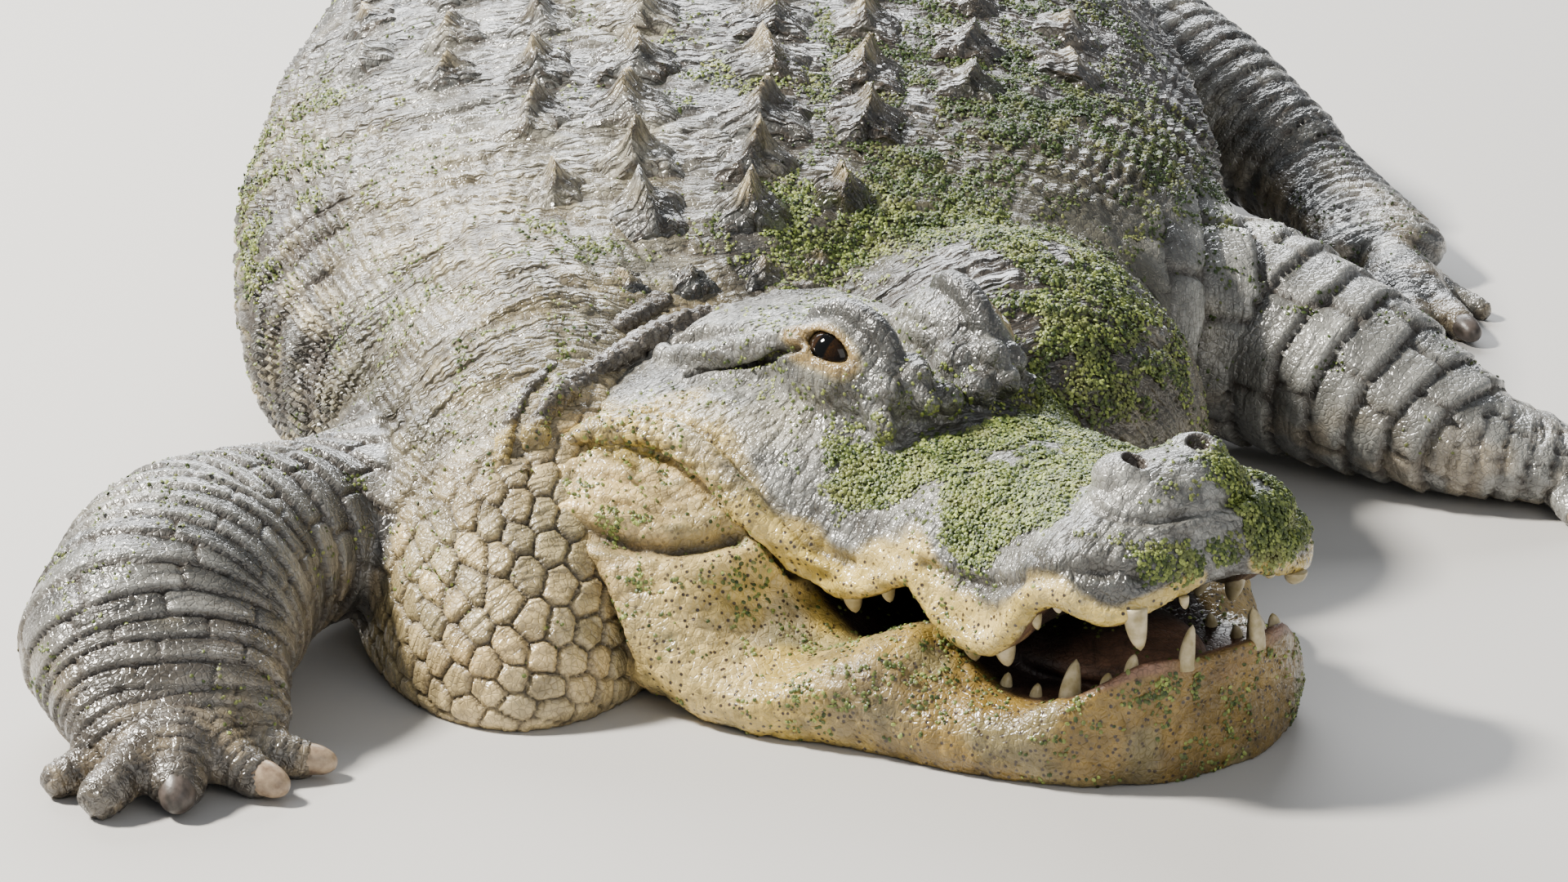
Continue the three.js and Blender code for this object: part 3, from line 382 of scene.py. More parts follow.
def space_key(cell, seed):
    """Row of JITTER for cells in space."""
    return (cell[:, 0] * 73 + cell[:, 1] * 179 + cell[:, 2] * 283 + seed * 37) % NUMBERS


def flat_key(column_at, row, seed):
    """Row of JITTER for cells in rows on a surface."""
    return (column_at * 97 + row * 389 + seed * 61) % NUMBERS


def noise(p, size, seed=0):
    """Smooth value noise from -1 to 1 at points, with lumps of a given size."""
    q = np.asarray(p) / size
    cell = np.floor(q).astype(np.int64)
    t = q - cell
    t = t * t * (3 - 2 * t)
    total = np.zeros(len(q))
    for corner in range(8):
        step = np.array([corner & 1, corner >> 1 & 1, corner >> 2 & 1])
        total += np.prod(np.where(step == 1, t, 1 - t), axis=1) * JITTER[space_key(cell + step, seed), 0]
    return 2 * total - 1


def ragged(p, size, seed, share, fine_size, fine_seed):
    """Noise with a share of finer noise on it."""
    return noise(p, size, seed) + share * noise(p, fine_size, fine_seed)


def no_cell(shape):
    return np.full(shape, FAR), np.full(shape, FAR), np.zeros(shape)


def nearest_two(best, away, number):
    """Least and second least distance and the nearest cell's number, after one more cell."""
    first, second, kept = best
    nearer = away < first
    return (np.where(nearer, away, first), np.where(nearer, first, np.minimum(second, away)),
            np.where(nearer, number, kept))


def cells(u, v, jitter=0.5, seed=0):
    """Irregular cells in brick rows of unit size: rise from 0 at a border, and a number per cell."""
    best = no_cell(u.shape)
    base_row = np.floor(v).astype(np.int64)
    for down in (-1, 0, 1):
        row = base_row + down
        shift = 0.5 * (row % 2)
        base = np.floor(u - shift).astype(np.int64)
        for side in (-1, 0, 1):
            key = flat_key(base + side, row, seed)
            du = u - (base + side + shift + 0.5 + jitter * (JITTER[key, 0] - 0.5))
            dv = v - (row + 0.5 + jitter * (JITTER[key, 1] - 0.5))
            best = nearest_two(best, np.hypot(du, dv), JITTER[key, 0])
    return best[1] - best[0], best[2]


def shingles(u, v, aspect, seed=0):
    """Overlapping scales in rows of unit length: rise from 0 at a border, number, place down the scale."""
    row = np.floor(v).astype(np.int64)
    across = u + JITTER[(row * 131 + seed * 61) % NUMBERS, 1]
    at = np.floor(across).astype(np.int64)
    a = np.maximum(0, 1 - (1 - np.abs(2 * (across - at) - 1)) * aspect)
    b = 2 * (v - row) - 1
    rise = 1 - (a ** 4 + np.abs(b) ** 4) ** 0.25
    return rise, JITTER[flat_key(at, row, seed), 0], b


def ellipse_arc(angle, a, b):
    """Length along an ellipse at angles from the end of its half axis b."""
    grid = np.linspace(0, np.pi, 721)
    speed = np.hypot(a * np.cos(grid), b * np.sin(grid))
    total = np.concatenate([[0], np.cumsum((speed[1:] + speed[:-1]) / 2 * np.diff(grid))])
    return np.sign(angle) * np.interp(np.abs(angle), grid, total)


# Frames
FORWARD = np.array([
    math.sin(HEAD_YAW) * math.cos(HEAD_PITCH), -math.cos(HEAD_YAW) * math.cos(HEAD_PITCH),
    math.sin(HEAD_PITCH)])
LEFT = np.array([math.cos(HEAD_YAW), math.sin(HEAD_YAW), 0])
UP = -np.cross(LEFT, FORWARD)
HINGE = np.array([
    SNOUT_TIP[0] - HINGE_BACK * math.sin(HEAD_YAW), SNOUT_TIP[1] + HINGE_BACK * math.cos(HEAD_YAW),
    HINGE_HEIGHT])


def head_point(f, l, h):
    f, l, h = np.broadcast_arrays(f, l, h)
    return HINGE + (HINGE_BACK - f)[..., None] * FORWARD + l[..., None] * LEFT + h[..., None] * UP


def head_coords(p):
    d = p - HINGE
    return HINGE_BACK - d @ FORWARD, d @ LEFT, d @ UP


def jaw_point(f, l, z):
    p = head_point(f, l, np.zeros_like(l)).copy()
    p[..., 2] = z
    return p


SPINE_FINE, SPINE_WAY = smooth_curve([(x, y, 0) for x, y in SPINE], SPINE_POINTS)
SPINE_AT = np.concatenate([[0], np.cumsum(np.linalg.norm(np.diff(SPINE_FINE, axis=0), axis=1))])


def spine_frame(distance):
    """Place, direction and left of the spine at distances behind the skull."""
    inside = np.clip(distance, 0, SPINE_AT[-1])
    place = np.stack([np.interp(inside, SPINE_AT, SPINE_FINE[:, k]) for k in range(3)], -1)
    way = unit(np.stack([np.interp(inside, SPINE_AT, SPINE_WAY[:, k]) for k in range(3)], -1))
    place = place + way * np.minimum(distance, 0)[..., None]
    return place, way, np.stack([way[..., 1], -way[..., 0], np.zeros(way.shape[:-1])], -1)


def body_point(distance, turn):
    """Body surface: turn 0 is the left side, a quarter the back, half a turn the right side."""
    distance, turn = np.broadcast_arrays(distance, turn)
    place, _, left = spine_frame(distance)
    half, top, middle, square, sink = (column(BODY, distance, k) for k in range(1, 6))
    across = half * signed_power(np.cos(turn), 2 / square)
    rise = signed_power(np.sin(turn), 2 / square)
    lean = RIDGE_LEAN * np.maximum(rise, 0) ** 2 * np.maximum(0, np.sin(np.pi * distance / TRUNK_END))
    across = across - np.where(distance < TRUNK_END, lean, 0)
    p = place + across[..., None] * left
    p[..., 2] = middle + rise * np.where(rise > 0, top - middle, middle + sink)
    return p


def body_coords(p):
    """Distance behind the skull and place across the body, to the left, of points."""
    step = 12
    coarse = SPINE_FINE[::step]
    nearest = np.concatenate([
        ((part[:, None, :2] - coarse[None, :, :2]) ** 2).sum(2).argmin(1) for part in np.array_split(p, 40)])
    at = nearest * step
    along = ((p - SPINE_FINE[at]) * SPINE_WAY[at]).sum(1)
    distance = SPINE_AT[at] + along
    place, _, left = spine_frame(distance)
    return distance, ((p - place) * left).sum(1)


# Shells of the skin
def loft(rings):
    """Closed surface through rings of points, as vertices and faces."""
    count, sides = rings.shape[:2]
    a = np.arange(sides)
    b = (a + 1) % sides
    base = sides * np.arange(count - 1)[:, None]
    quads = np.stack([base + a, base + b, base + sides + b, base + sides + a], -1).reshape(-1, 4).tolist()
    last = (count - 1) * sides
    caps = [a[::-1].tolist(), (last + a).tolist()]
    return rings.reshape(-1, 3), quads + caps


def ball(place, radii, to_world, around=40, down=24):
    turn = circle(around)
    tilt = np.linspace(0.01, np.pi - 0.01, down)[:, None]
    x = place[0] + radii[0] * np.sin(tilt) * np.cos(turn)
    y = place[1] + radii[1] * np.sin(tilt) * np.sin(turn)
    z = place[2] + radii[2] * np.cos(tilt)
    return loft(to_world(*np.broadcast_arrays(x, y, z)))


def both_sides(form, **detail):
    (f, l, h), radii = form
    return [ball((f, side * l, h), radii, head_point, **detail) for side in (-1, 1)]


def skull_shell():
    f = np.concatenate([np.linspace(0, 0.02, 12), np.linspace(0.023, HINGE_BACK, 150)])
    half, lip, top, square = (column(SKULL, f, k)[:, None] for k in range(1, 5))
    turn = np.linspace(0, np.pi, 73)
    over_l = half * signed_power(np.cos(turn), 2 / square)
    over_h = lip + (top - lip) * signed_power(np.sin(turn), 2 / square)
    across = np.linspace(-1, 1, 25)
    under_l = half * (1 - LIP_THICKNESS) * across
    under_h = lip + PALATE_DEPTH * np.minimum(1, half / 0.08) * (1 - np.abs(across) ** 4)
    l = np.concatenate([over_l, under_l], 1)
    h = np.concatenate([over_h, under_h], 1)
    return loft(head_point(f[:, None], l, h))


def table_shell():
    t = SKULL_TABLE
    share = np.linspace(0, 1, 24)[:, None]
    f = lerp(t["front"], t["back"], share)
    half = lerp(t["half_front"], t["half_back"], share)
    top = t["top"] - 0.008 * (1 - np.sin(np.pi * (0.2 + 0.7 * share)))
    turn = np.linspace(0, np.pi, 33)
    l = half * signed_power(np.cos(turn), 0.5)
    h = t["bottom"] + (top - t["bottom"]) * signed_power(np.sin(turn), 0.45)
    return loft(head_point(f, l, h))


def jaw_shell():
    f = np.concatenate([np.linspace(0.004, 0.03, 14), np.linspace(0.033, 0.455, 140)])
    lip_half, lip, widest = (column(JAW, f, k)[:, None] for k in (1, 2, 3))
    level = lip * JAW_WIDEST_HEIGHT
    turn = np.linspace(-np.pi / 2, np.pi / 2, 37)
    above = turn > 0
    cosine = np.maximum(np.cos(turn), 0)
    across = np.where(above, lip_half + (widest - lip_half) * cosine ** 0.9, widest * cosine ** 0.7)
    height = np.where(
        above, level + (lip - level) * np.sin(turn), level + (level + JAW_BELOW_FLOOR) * np.sin(turn))
    inner = np.linspace(LIP_INNER, 0, 9)
    floor_l = lip_half * inner
    depth = MOUTH_FLOOR_DEPTH * np.minimum(1, lip_half / 0.07)
    floor_z = lip - 0.001 - depth * smooth(0.9, 0.5, inner)
    right_l = np.concatenate([across, floor_l], 1)
    right_z = np.concatenate([height, floor_z], 1)
    l = np.concatenate([-right_l, right_l[:, -2:0:-1]], 1)
    z = np.concatenate([right_z, right_z[:, -2:0:-1]], 1)
    return loft(jaw_point(f[:, None], l, z))


def body_shell():
    distance = np.arange(BODY_FROM, TAIL_END, RING_STEP)[:, None]
    return loft(body_point(distance, circle(144)))


def jowl_shell(jowl):
    def place(x, y, z):
        return np.stack([x, y + jowl["lean"] * z, z], -1)
    return ball(jowl["at"], jowl["radii"], place, 90, 60)


def sideways(way):
    """Level directions to the right of a line's ways."""
    return unit(np.stack([way[:, 1], -way[:, 0], np.zeros(len(way))], 1))


def ringed(place, across, up, wide, high, sides):
    """Closed tube through places, with half width and half height at each."""
    turn = circle(sides)[:, None]
    return loft(place[:, None] + wide[:, None, None] * np.cos(turn) * across[:, None]
                + high[:, None, None] * np.sin(turn) * up[:, None])


def tube(place, way, radius, sides):
    across = sideways(way)
    return ringed(place, across, np.cross(across, way), radius, radius, sides)


def limb_frame(rows, count):
    """Places along a limb's length with the directions across and up, half width and half height."""
    place, way = smooth_curve([row[:3] for row in rows], count)
    across = sideways(way)
    up = np.cross(across, way)
    up *= np.where(up[:, 2] < 0, -1, 1)[:, None]
    share = np.linspace(0, 1, count)
    table = [(i / (len(rows) - 1), row[3], row[4]) for i, row in enumerate(rows)]
    return place, way, across, up, column(table, share, 1), column(table, share, 2)


def limb_shell(rows):
    """Sausage along a length of a limb, with round ends."""
    length = np.linalg.norm(np.subtract(rows[-1][:3], rows[0][:3]))
    place, way, across, up, wide, high = limb_frame(rows, max(6, int(length / RING_STEP)))
    bend = np.linspace(0.97, 0, 9, endpoint=False) * np.pi / 2
    start = place[0] - np.sin(bend)[:, None] * high[0] * way[0]
    end = place[-1] + np.sin(bend[::-1])[:, None] * high[-1] * way[-1]
    size = np.concatenate([np.cos(bend), np.ones(len(place)), np.cos(bend[::-1])])
    pick = np.concatenate([np.zeros(9, int), np.arange(len(place)), np.full(9, len(place) - 1)])
    centre = np.vstack([start, place, end])
    return ringed(centre, across[pick], up[pick], size * wide[pick], size * high[pick], sides=40)


def toe_line(rows, toe):
    """Root, knuckle and tip of a toe."""
    side, tip, radius, _ = toe
    place, _, across, _, wide, _ = limb_frame(rows, 11)
    root = place[8] + across[8] * wide[8] * side * 0.75
    root[2] = max(radius * 1.1, root[2] * 0.9)
    end = np.array([*tip, radius * 0.55])
    knuckle = lerp(root, end, 0.55)
    knuckle[2] = radius * 1.5
    return root, knuckle, end


def bezier(points, t):
    a, b, c = points
    t = t[:, None]
    place = (1 - t) ** 2 * a + 2 * t * (1 - t) * b + t * t * c
    return place, unit((1 - t) * (b - a) + t * (c - b))


def toe_shell(rows, toe):
    points = toe_line(rows, toe)
    radius = toe[2]
    t = np.linspace(0, 1, 26)
    place, way = bezier(points, t)
    swell = 1 + 0.10 * np.cos(t * np.pi * 4)
    size = radius * swell * lerp(1.1, 0.62, t ** 2)
    bend = np.linspace(0, 0.95, 8) * np.pi / 2
    tip = place[-1] + np.sin(bend)[:, None] * size[-1] * 0.7 * way[-1]
    place = np.vstack([place, tip[1:]])
    way = np.vstack([way, np.repeat(way[-1:], 7, 0)])
    size = np.concatenate([size, size[-1] * np.cos(bend[1:])])
    return tube(place, way, size, sides=20)


def claw_shell(rows, toe):
    points = toe_line(rows, toe)
    place, way = bezier(points, np.array([0.0, 1.0]))
    tip, out = place[1], way[1]
    flat = np.array([out[0], out[1], 0])
    flat /= np.linalg.norm(flat)
    middle = tip + out * CLAW_LENGTH * 0.5
    middle[2] = tip[2] + 0.003
    end = tip + flat * CLAW_LENGTH * 0.85
    end[2] = 0.005
    t = np.linspace(0, 1, 22)
    place, way = bezier((tip - out * 0.004, middle, end), t)
    point = np.sqrt(1 - np.maximum(0, t - 0.72) ** 2 / 0.28 ** 2 * 0.96)
    return tube(place, way, toe[2] * lerp(0.56, 0.34, t ** 1.6) * point, sides=18)


# Meshes
def new_mesh(name, verts, faces, shade=True):
    """Object from points of the floor plan, moved so that BELLY lies at the frame's origin."""
    mesh = bpy.data.meshes.new(name)
    faces = faces if isinstance(faces, list) else faces.tolist()
    mesh.from_pydata((np.asarray(verts) - BELLY).tolist(), [], faces)
    if shade:
        mesh.shade_smooth()
    made = bpy.data.objects.new(name, mesh)
    bpy.context.scene.collection.objects.link(made)
    return made


def merged(shells):
    """Several shells as one list of vertices and faces."""
    verts, faces, start = [], [], 0
    for v, f in shells:
        verts.append(v)
        faces += [[i + start for i in face] for face in f]
        start += len(v)
    return np.vstack(verts), faces


def above_floor(shell):
    verts, faces = shell
    verts = verts.copy()
    verts[:, 2] = np.maximum(verts[:, 2], 0)
    return verts, faces


def add_voxels(made, name, voxel):
    """Step that rebuilds a closed surface from voxels."""
    step = made.modifiers.new(name, "REMESH")
    step.mode = "VOXEL"
    step.voxel_size = voxel


def fused(name, shells, voxel, cutters=()):
    """One closed surface round overlapping shells, with the cutters taken away from it."""
    solid = new_mesh(name, *merged([above_floor(s) for s in shells]), shade=False)
    add_voxels(solid, "join", voxel)
    knives = [new_mesh(name + "_knife", *form, shade=False) for form in cutters]
    for knife in knives:
        add_voxels(knife, "even", KNIFE_VOXEL)
        cut = solid.modifiers.new("cut", "BOOLEAN")
        cut.operation = "DIFFERENCE"
        cut.solver = "MANIFOLD"
        cut.object = knife
    if knives:
        add_voxels(solid, "even", voxel)
    shown = bpy.context.evaluated_depsgraph_get()
    mesh = bpy.data.meshes.new_from_object(solid.evaluated_get(shown))
    for spare in [solid, *knives]:
        bpy.data.objects.remove(spare)
    return mesh


def read(items, key, width=1, kind=np.float32):
    """One property of all items of a mesh."""
    out = np.empty(len(items) * width, kind)
    items.foreach_get(key, out)
    return out.reshape(-1, width) if width > 1 else out


def shell_of(mesh):
    """A mesh as vertices and faces, to be fused with others."""
    corners = read(mesh.loops, "vertex_index", kind=np.int32)
    starts = read(mesh.polygons, "loop_start", kind=np.int32)
    return points_of(mesh), [part.tolist() for part in np.split(corners, starts[1:])]


def points_of(mesh):
    return read(mesh.vertices, "co", 3).astype(float) + BELLY


def set_points(mesh, points):
    mesh.vertices.foreach_set("co", (points - BELLY).astype(np.float32).ravel())
    mesh.update()


def normals_of(mesh):
    return read(mesh.vertex_normals, "vector", 3).astype(float)


def edges_of(mesh):
    return read(mesh.edges, "vertices", 2, np.int32)


def relaxed(points, edges, rounds, weight=0.6):
    """Points moved towards their neighbours' middle, a few times over."""
    count = np.bincount(edges.ravel(), minlength=len(points))[:, None]
    for _ in range(rounds):
        total = np.stack([
            np.bincount(edges[:, 0], points[edges[:, 1], k], len(points))
            + np.bincount(edges[:, 1], points[edges[:, 0], k], len(points)) for k in range(3)], 1)
        points = points + np.reshape(weight, (-1, 1)) * (total / np.maximum(count, 1) - points)
    return points


def refine(mesh, wanted):
    """Splits each face whose middle is wanted into four."""
    made = bmesh.new()
    made.from_mesh(mesh)
    middles = np.array([face.calc_center_median() for face in made.faces]) + BELLY
    chosen = wanted(middles)
    edges = {edge for face, take in zip(made.faces, chosen) if take for edge in face.edges}
    bmesh.ops.subdivide_edges(made, edges=list(edges), cuts=1, use_grid_fill=True)
    made.to_mesh(mesh)
    made.free()


def paint(mesh, **layers):
    """Stores numbers or colours at the vertices for the materials to read."""
    for name, values in layers.items():
        values = np.asarray(values, np.float32)
        kind = "FLOAT" if values.ndim == 1 else "FLOAT_VECTOR"
        layer = mesh.attributes.new(name, kind, "POINT")
        layer.data.foreach_set("value" if values.ndim == 1 else "vector", values.ravel())


# Folds of the head's right side (f, l, h), mirrored on the left: width, depth, then the points
FOLDS = {
    "ear_slit": (0.0026, 0.009, [
        (0.376, -0.098, 0.098), (0.370, -0.084, 0.099), (0.344, -0.075, 0.106), (0.315, -0.070, 0.117),
        (0.298, -0.074, 0.124)]),
    "ear_top": (0.004, 0.005, [
        (0.426, -0.089, 0.100), (0.429, -0.067, 0.106), (0.398, -0.056, 0.118), (0.370, -0.050, 0.122),
        (0.335, -0.050, 0.122)]),
    "occiput": (0.0040, 0.006, [
        (0.368, -0.212, 0.062), (0.386, -0.197, 0.080), (0.397, -0.176, 0.094), (0.407, -0.146, 0.102),
        (0.421, -0.107, 0.107), (0.434, -0.064, 0.113), (0.438, -0.030, 0.118)]),
    "nape_middle": (0.0035, 0.007, [
        (0.390, -0.226, 0.060), (0.403, -0.210, 0.080), (0.414, -0.190, 0.094), (0.427, -0.163, 0.102),
        (0.441, -0.122, 0.107), (0.456, -0.076, 0.113), (0.466, -0.035, 0.118), (0.470, 0, 0.120)]),
    "jaw_back": (0.007, 0.012, [
        (0.388, -0.214, 0.070), (0.369, -0.223, 0.054), (0.348, -0.222, 0.037), (0.329, -0.223, 0.010),
        (0.319, -0.221, -0.014), (0.308, -0.213, -0.039)]),
    "mouth": (0.004, 0.008, [
        (0.381, -0.195, 0.067), (0.369, -0.166, 0.073), (0.344, -0.154, 0.069), (0.319, -0.143, 0.056),
        (0.294, -0.133, 0.037), (0.279, -0.128, 0.021), (0.267, -0.114, -0.003)]),
    "cheek_upper": (0.003, 0.002, [
        (0.366, -0.198, 0.057), (0.338, -0.179, 0.055), (0.318, -0.151, 0.047), (0.293, -0.135, 0.028)]),
    "cheek_middle": (0.003, 0.002, [
        (0.359, -0.207, 0.047), (0.326, -0.188, 0.044), (0.302, -0.164, 0.032), (0.289, -0.145, 0.023)]),
    "cheek_lower": (0.006, 0.009, [
        (0.348, -0.216, 0.036), (0.320, -0.201, 0.025), (0.295, -0.177, 0.020), (0.285, -0.142, 0.020)]),
    "lip_upper": (0.004, 0.004, [
        (0.383, -0.175, 0.070), (0.364, -0.150, 0.083), (0.331, -0.132, 0.077), (0.300, -0.126, 0.060),
        (0.276, -0.122, 0.038), (0.254, -0.116, 0.020), (0.219, -0.107, 0.009)]),
    "brow": (0.003, 0.004, [(0.263, -0.031, 0.117), (0.250, -0.046, 0.102), (0.255, -0.050, 0.089)]),
    "snout": (0.004, 0.004, [
        (0.160, -0.099, 0.017), (0.142, -0.095, 0.012), (0.114, -0.093, 0.011), (0.068, -0.094, 0.021),
        (0.032, -0.081, 0.030), (0.010, -0.056, 0.026)]),
    "nose": (0.003, 0.004, [
        (0.087, -0.027, 0.058), (0.046, -0.054, 0.056), (0.024, -0.042, 0.052), (0.010, -0.010, 0.055)]),
}

# Depth from which the bottom of a fold is painted quite dark, as painted shade
FOLD_FULL = 0.006

# Height of the pale band along the upper lip: f, height
LIP_BAND = [
    (0, 0.012), (0.02, 0.013), (0.05, 0.018), (0.09, 0.028), (0.15, 0.030), (0.21, 0.032), (0.26, 0.030),
    (0.32, 0.028), (0.36, 0.030), (0.42, 0.016),
]

# Duckweed on the body and the jaw: x, y, z, reach, thickness of the cover
WEED_PATCHES = [
    (0.163, 0.010, 0.183, 0.040, 1.0), (0.172, -0.015, 0.164, 0.035, 1.0),
    (0.192, -0.018, 0.154, 0.035, 1.0), (0.213, -0.014, 0.137, 0.035, 0.9),
    (0.188, 0.010, 0.172, 0.040, 1.0), (0.224, 0.015, 0.149, 0.040, 0.9), (0.150, 0.087, 0.201, 0.050, 1.0),
    (0.175, 0.061, 0.193, 0.050, 1.0), (0.115, 0.151, 0.198, 0.050, 0.9), (0.000, 0.120, 0.207, 0.030, 1.0),
    (0.020, 0.125, 0.205, 0.060, 1.0), (0.075, 0.146, 0.205, 0.060, 1.0), (0.115, 0.144, 0.200, 0.060, 1.0),
    (0.050, 0.300, 0.260, 0.120, 0.75), (0.150, 0.300, 0.240, 0.120, 0.85),
    (0.230, 0.300, 0.210, 0.100, 0.7), (0.150, 0.440, 0.260, 0.110, 0.6), (0.100, 0.200, 0.220, 0.070, 0.8),
    (-0.343, 0.326, 0.184, 0.070, 0.7), (-0.304, 0.320, 0.213, 0.060, 0.5),
    (-0.350, 0.240, 0.150, 0.060, 0.7), (-0.320, 0.227, 0.180, 0.050, 0.5),
    (-0.237, 0.062, 0.166, 0.060, 0.35), (-0.184, 0.042, 0.199, 0.060, 0.4),
    (-0.134, 0.082, 0.202, 0.060, 0.4), (-0.160, -0.040, 0.177, 0.050, 0.35),
    (-0.240, -0.110, 0.100, 0.050, 0.25), (-0.430, -0.285, 0.050, 0.040, 0.5),
    (-0.430, -0.240, 0.070, 0.040, 0.5), (0.368, 0.208, 0.119, 0.040, 0.5),
    (0.386, 0.627, 0.033, 0.050, 0.3), (0.151, 0.122, 0.196, 0.060, 1.0), (0.185, 0.070, 0.190, 0.060, 1.0),
    (0.215, 0.041, 0.172, 0.050, 0.9), (0.247, 0.045, 0.139, 0.050, 0.7),
    (-0.098, -0.173, 0.108, 0.020, 0.5), (-0.078, -0.196, 0.085, 0.030, 0.4),
    (-0.054, -0.216, 0.061, 0.030, 0.3), (-0.005, -0.223, 0.043, 0.030, 0.45),
    (0.019, -0.272, 0.036, 0.030, 0.45), (0.067, -0.281, 0.050, 0.030, 0.7),
    (0.048, -0.286, 0.026, 0.030, 0.4), (0.138, -0.321, 0.040, 0.022, 0.8),
    (0.161, -0.330, 0.048, 0.020, 0.9), (0.199, -0.332, 0.064, 0.020, 0.9),
    (0.233, -0.321, 0.065, 0.025, 0.8), (0.258, -0.301, 0.042, 0.030, 0.6),
]

# Colours
SLATE = np.array([0.072, 0.075, 0.072])
ASH = np.array([0.225, 0.228, 0.212])
SILVER = np.array([0.360, 0.360, 0.330])
BONE = np.array([0.420, 0.380, 0.275])
UMBER = np.array([0.085, 0.068, 0.048])
OLIVE = np.array([0.190, 0.180, 0.095])
OCHRE = np.array([0.560, 0.350, 0.125])
CREAM = np.array([0.640, 0.510, 0.270])
BUFF = np.array([0.460, 0.390, 0.225])
TAN = np.array([0.330, 0.255, 0.150])
LID = np.array([0.420, 0.285, 0.100])
# Near black of the seams between scales, also used as painted shade in grooves, folds, cracks and wrinkle
# valleys
SEAM_AND_SHADE = np.array([0.030, 0.020, 0.012])
GULLET = np.array([0.250, 0.135, 0.085])
# Near black painted as shade deep inside the mouth
MOUTH_SHADE = np.array([0.020, 0.010, 0.008])
WEED = np.array([0.150, 0.210, 0.035])


def line_distance(points, line):
    """Distance of points from a smooth curve through a line's points."""
    fine, _ = smooth_curve(line, 4 * len(line))
    best = np.full(len(points), FAR)
    for a, b in zip(fine[:-1], fine[1:]):
        span = b - a
        t = np.clip((points - a) @ span / (span @ span), 0, 1)
        best = np.minimum(best, np.linalg.norm(points - a - t[:, None] * span, axis=1))
    return best


def pebbles(p, size, jitter=0.8, seed=0):
    """Round scales in space: rise from 0 at a border, and a number per scale."""
    q = p / size
    base = np.floor(q).astype(np.int64)
    best = no_cell(len(q))
    for corner in np.ndindex(3, 3, 3):
        cell = base + np.array(corner) - 1
        key = space_key(cell, seed)
        shift = np.stack([JITTER[key, 0], JITTER[key, 1], JITTER[key - 7, 0]], 1) - 0.5
        best = nearest_two(best, np.linalg.norm(q - (cell + 0.5 + jitter * shift), axis=1), JITTER[key, 0])
    return best[1] - best[0], best[2]


def mix(a, b, weight):
    return a + (b - a) * np.reshape(weight, (-1, 1))


def layered(tint, *layers):
    """A tint with other tints laid over it in turn, each with its share."""
    for over, share in layers:
        tint = mix(tint, over, share)
    return tint


def mirrored(shell):
    """The same form on the head's other side."""
    f, l, h = head_coords(shell[0])
    return head_point(f, -l, h), shell[1]


def roll_shell(points, sides=14):
    """Roll of skin along a curve in the head's frame, closed by round ends."""
    line = np.asarray(points, float)
    count = 9 * len(line)
    place, _ = smooth_curve(line[:, :3], count)
    t = np.linspace(0, 1, count)
    ends = np.minimum(1, 8 * np.minimum(t, 1 - t) + 0.1) ** 0.5
    size = np.interp(t, np.linspace(0, 1, len(line)), line[:, 3]) * ends
    place = head_point(*place.T)
    way = unit(np.gradient(place, axis=0))
    guide = np.array([0.03, 0.02, 1.0]) if abs(way[:, 2]).max() < 0.9 else LEFT
    side = unit(np.cross(way, guide))
    return ringed(place, side, np.cross(side, way), size, size, sides)


def eye_at(side):
    return np.array([EYE[0], side * EYE[1], EYE[2]])


def eye_frame(side):
    """Centre of the eye with the way it looks, forward along its opening and up across it, as (f, l, h)."""
    gaze = np.array([GAZE[0], side * GAZE[1], GAZE[2]])
    gaze /= np.linalg.norm(gaze)
    along = np.array([-1.0, 0, 0])
    along -= along @ gaze * gaze
    along /= np.linalg.norm(along)
    up = np.cross(gaze, along)
    up *= np.sign(up[2])
    turned = math.cos(EYE_SLANT) * along + math.sin(EYE_SLANT) * up
    upright = math.cos(EYE_SLANT) * up - math.sin(EYE_SLANT) * along
    return eye_at(side), gaze, turned, upright


def almond(turn, grow=1.0):
    """Outline of the eye's opening, as places along and across it on the ball's front."""
    x = OPEN_HALF * grow * np.cos(turn)
    y = np.where(np.sin(turn) > 0, OPEN_UPPER, OPEN_LOWER) * grow * np.sin(turn)
    return x, y * (1 - 0.25 * np.abs(np.cos(turn)) ** 3) + 0.0006


def eye_cutter(side):
    centre, gaze, along, up = eye_frame(side)
    x, y = almond(circle(40))
    rings = []
    for reach in np.linspace(0.012, 0.036, 7):
        size = reach / EYE_RADIUS
        rings.append(centre + gaze * reach + size * (x[:, None] * along + y[:, None] * up))
    rings = np.array(rings)
    return loft(head_point(rings[..., 0], rings[..., 1], rings[..., 2]))


def lid_roll(side, grow, turns, thickness):
    """Roll along an eyelid, on the ball of the lids round the eye's opening."""
    centre, gaze, along, up = eye_frame(side)
    t = np.linspace(0, 1, 11)
    x, y = almond(lerp(turns[0], turns[1], t), grow)
    x /= 0.4 + 0.6 * grow
    way = gaze * EYE_RADIUS * 0.80 + x[:, None] * along + y[:, None] * up
    place = centre + unit(way) * (LID_RADIUS - LID_SINK)
    return roll_shell(np.column_stack([place, thickness * (0.5 + 0.5 * np.sin(np.pi * t))]), sides=12)


def lip_roll(side):
    """Rounded edge of the upper lip from the snout's tip back along one side."""
    f = np.concatenate([[0.0012, 0.003, 0.007, 0.013], np.arange(0.020, 0.262, 0.008)])
    half, lip = column(SKULL, f, 1), column(SKULL, f, 2)
    size = LIP_ROLL * smooth(0.0, 0.03, f + 0.012) * smooth(0.275, 0.22, f)
    return roll_shell(
        np.column_stack([f + 0.002, side * (half - 0.0030), lip + 0.0060, size + 0.001]), sides=12)


def roll_line(name):
    return np.array(ROLLS[name])[:, :3]


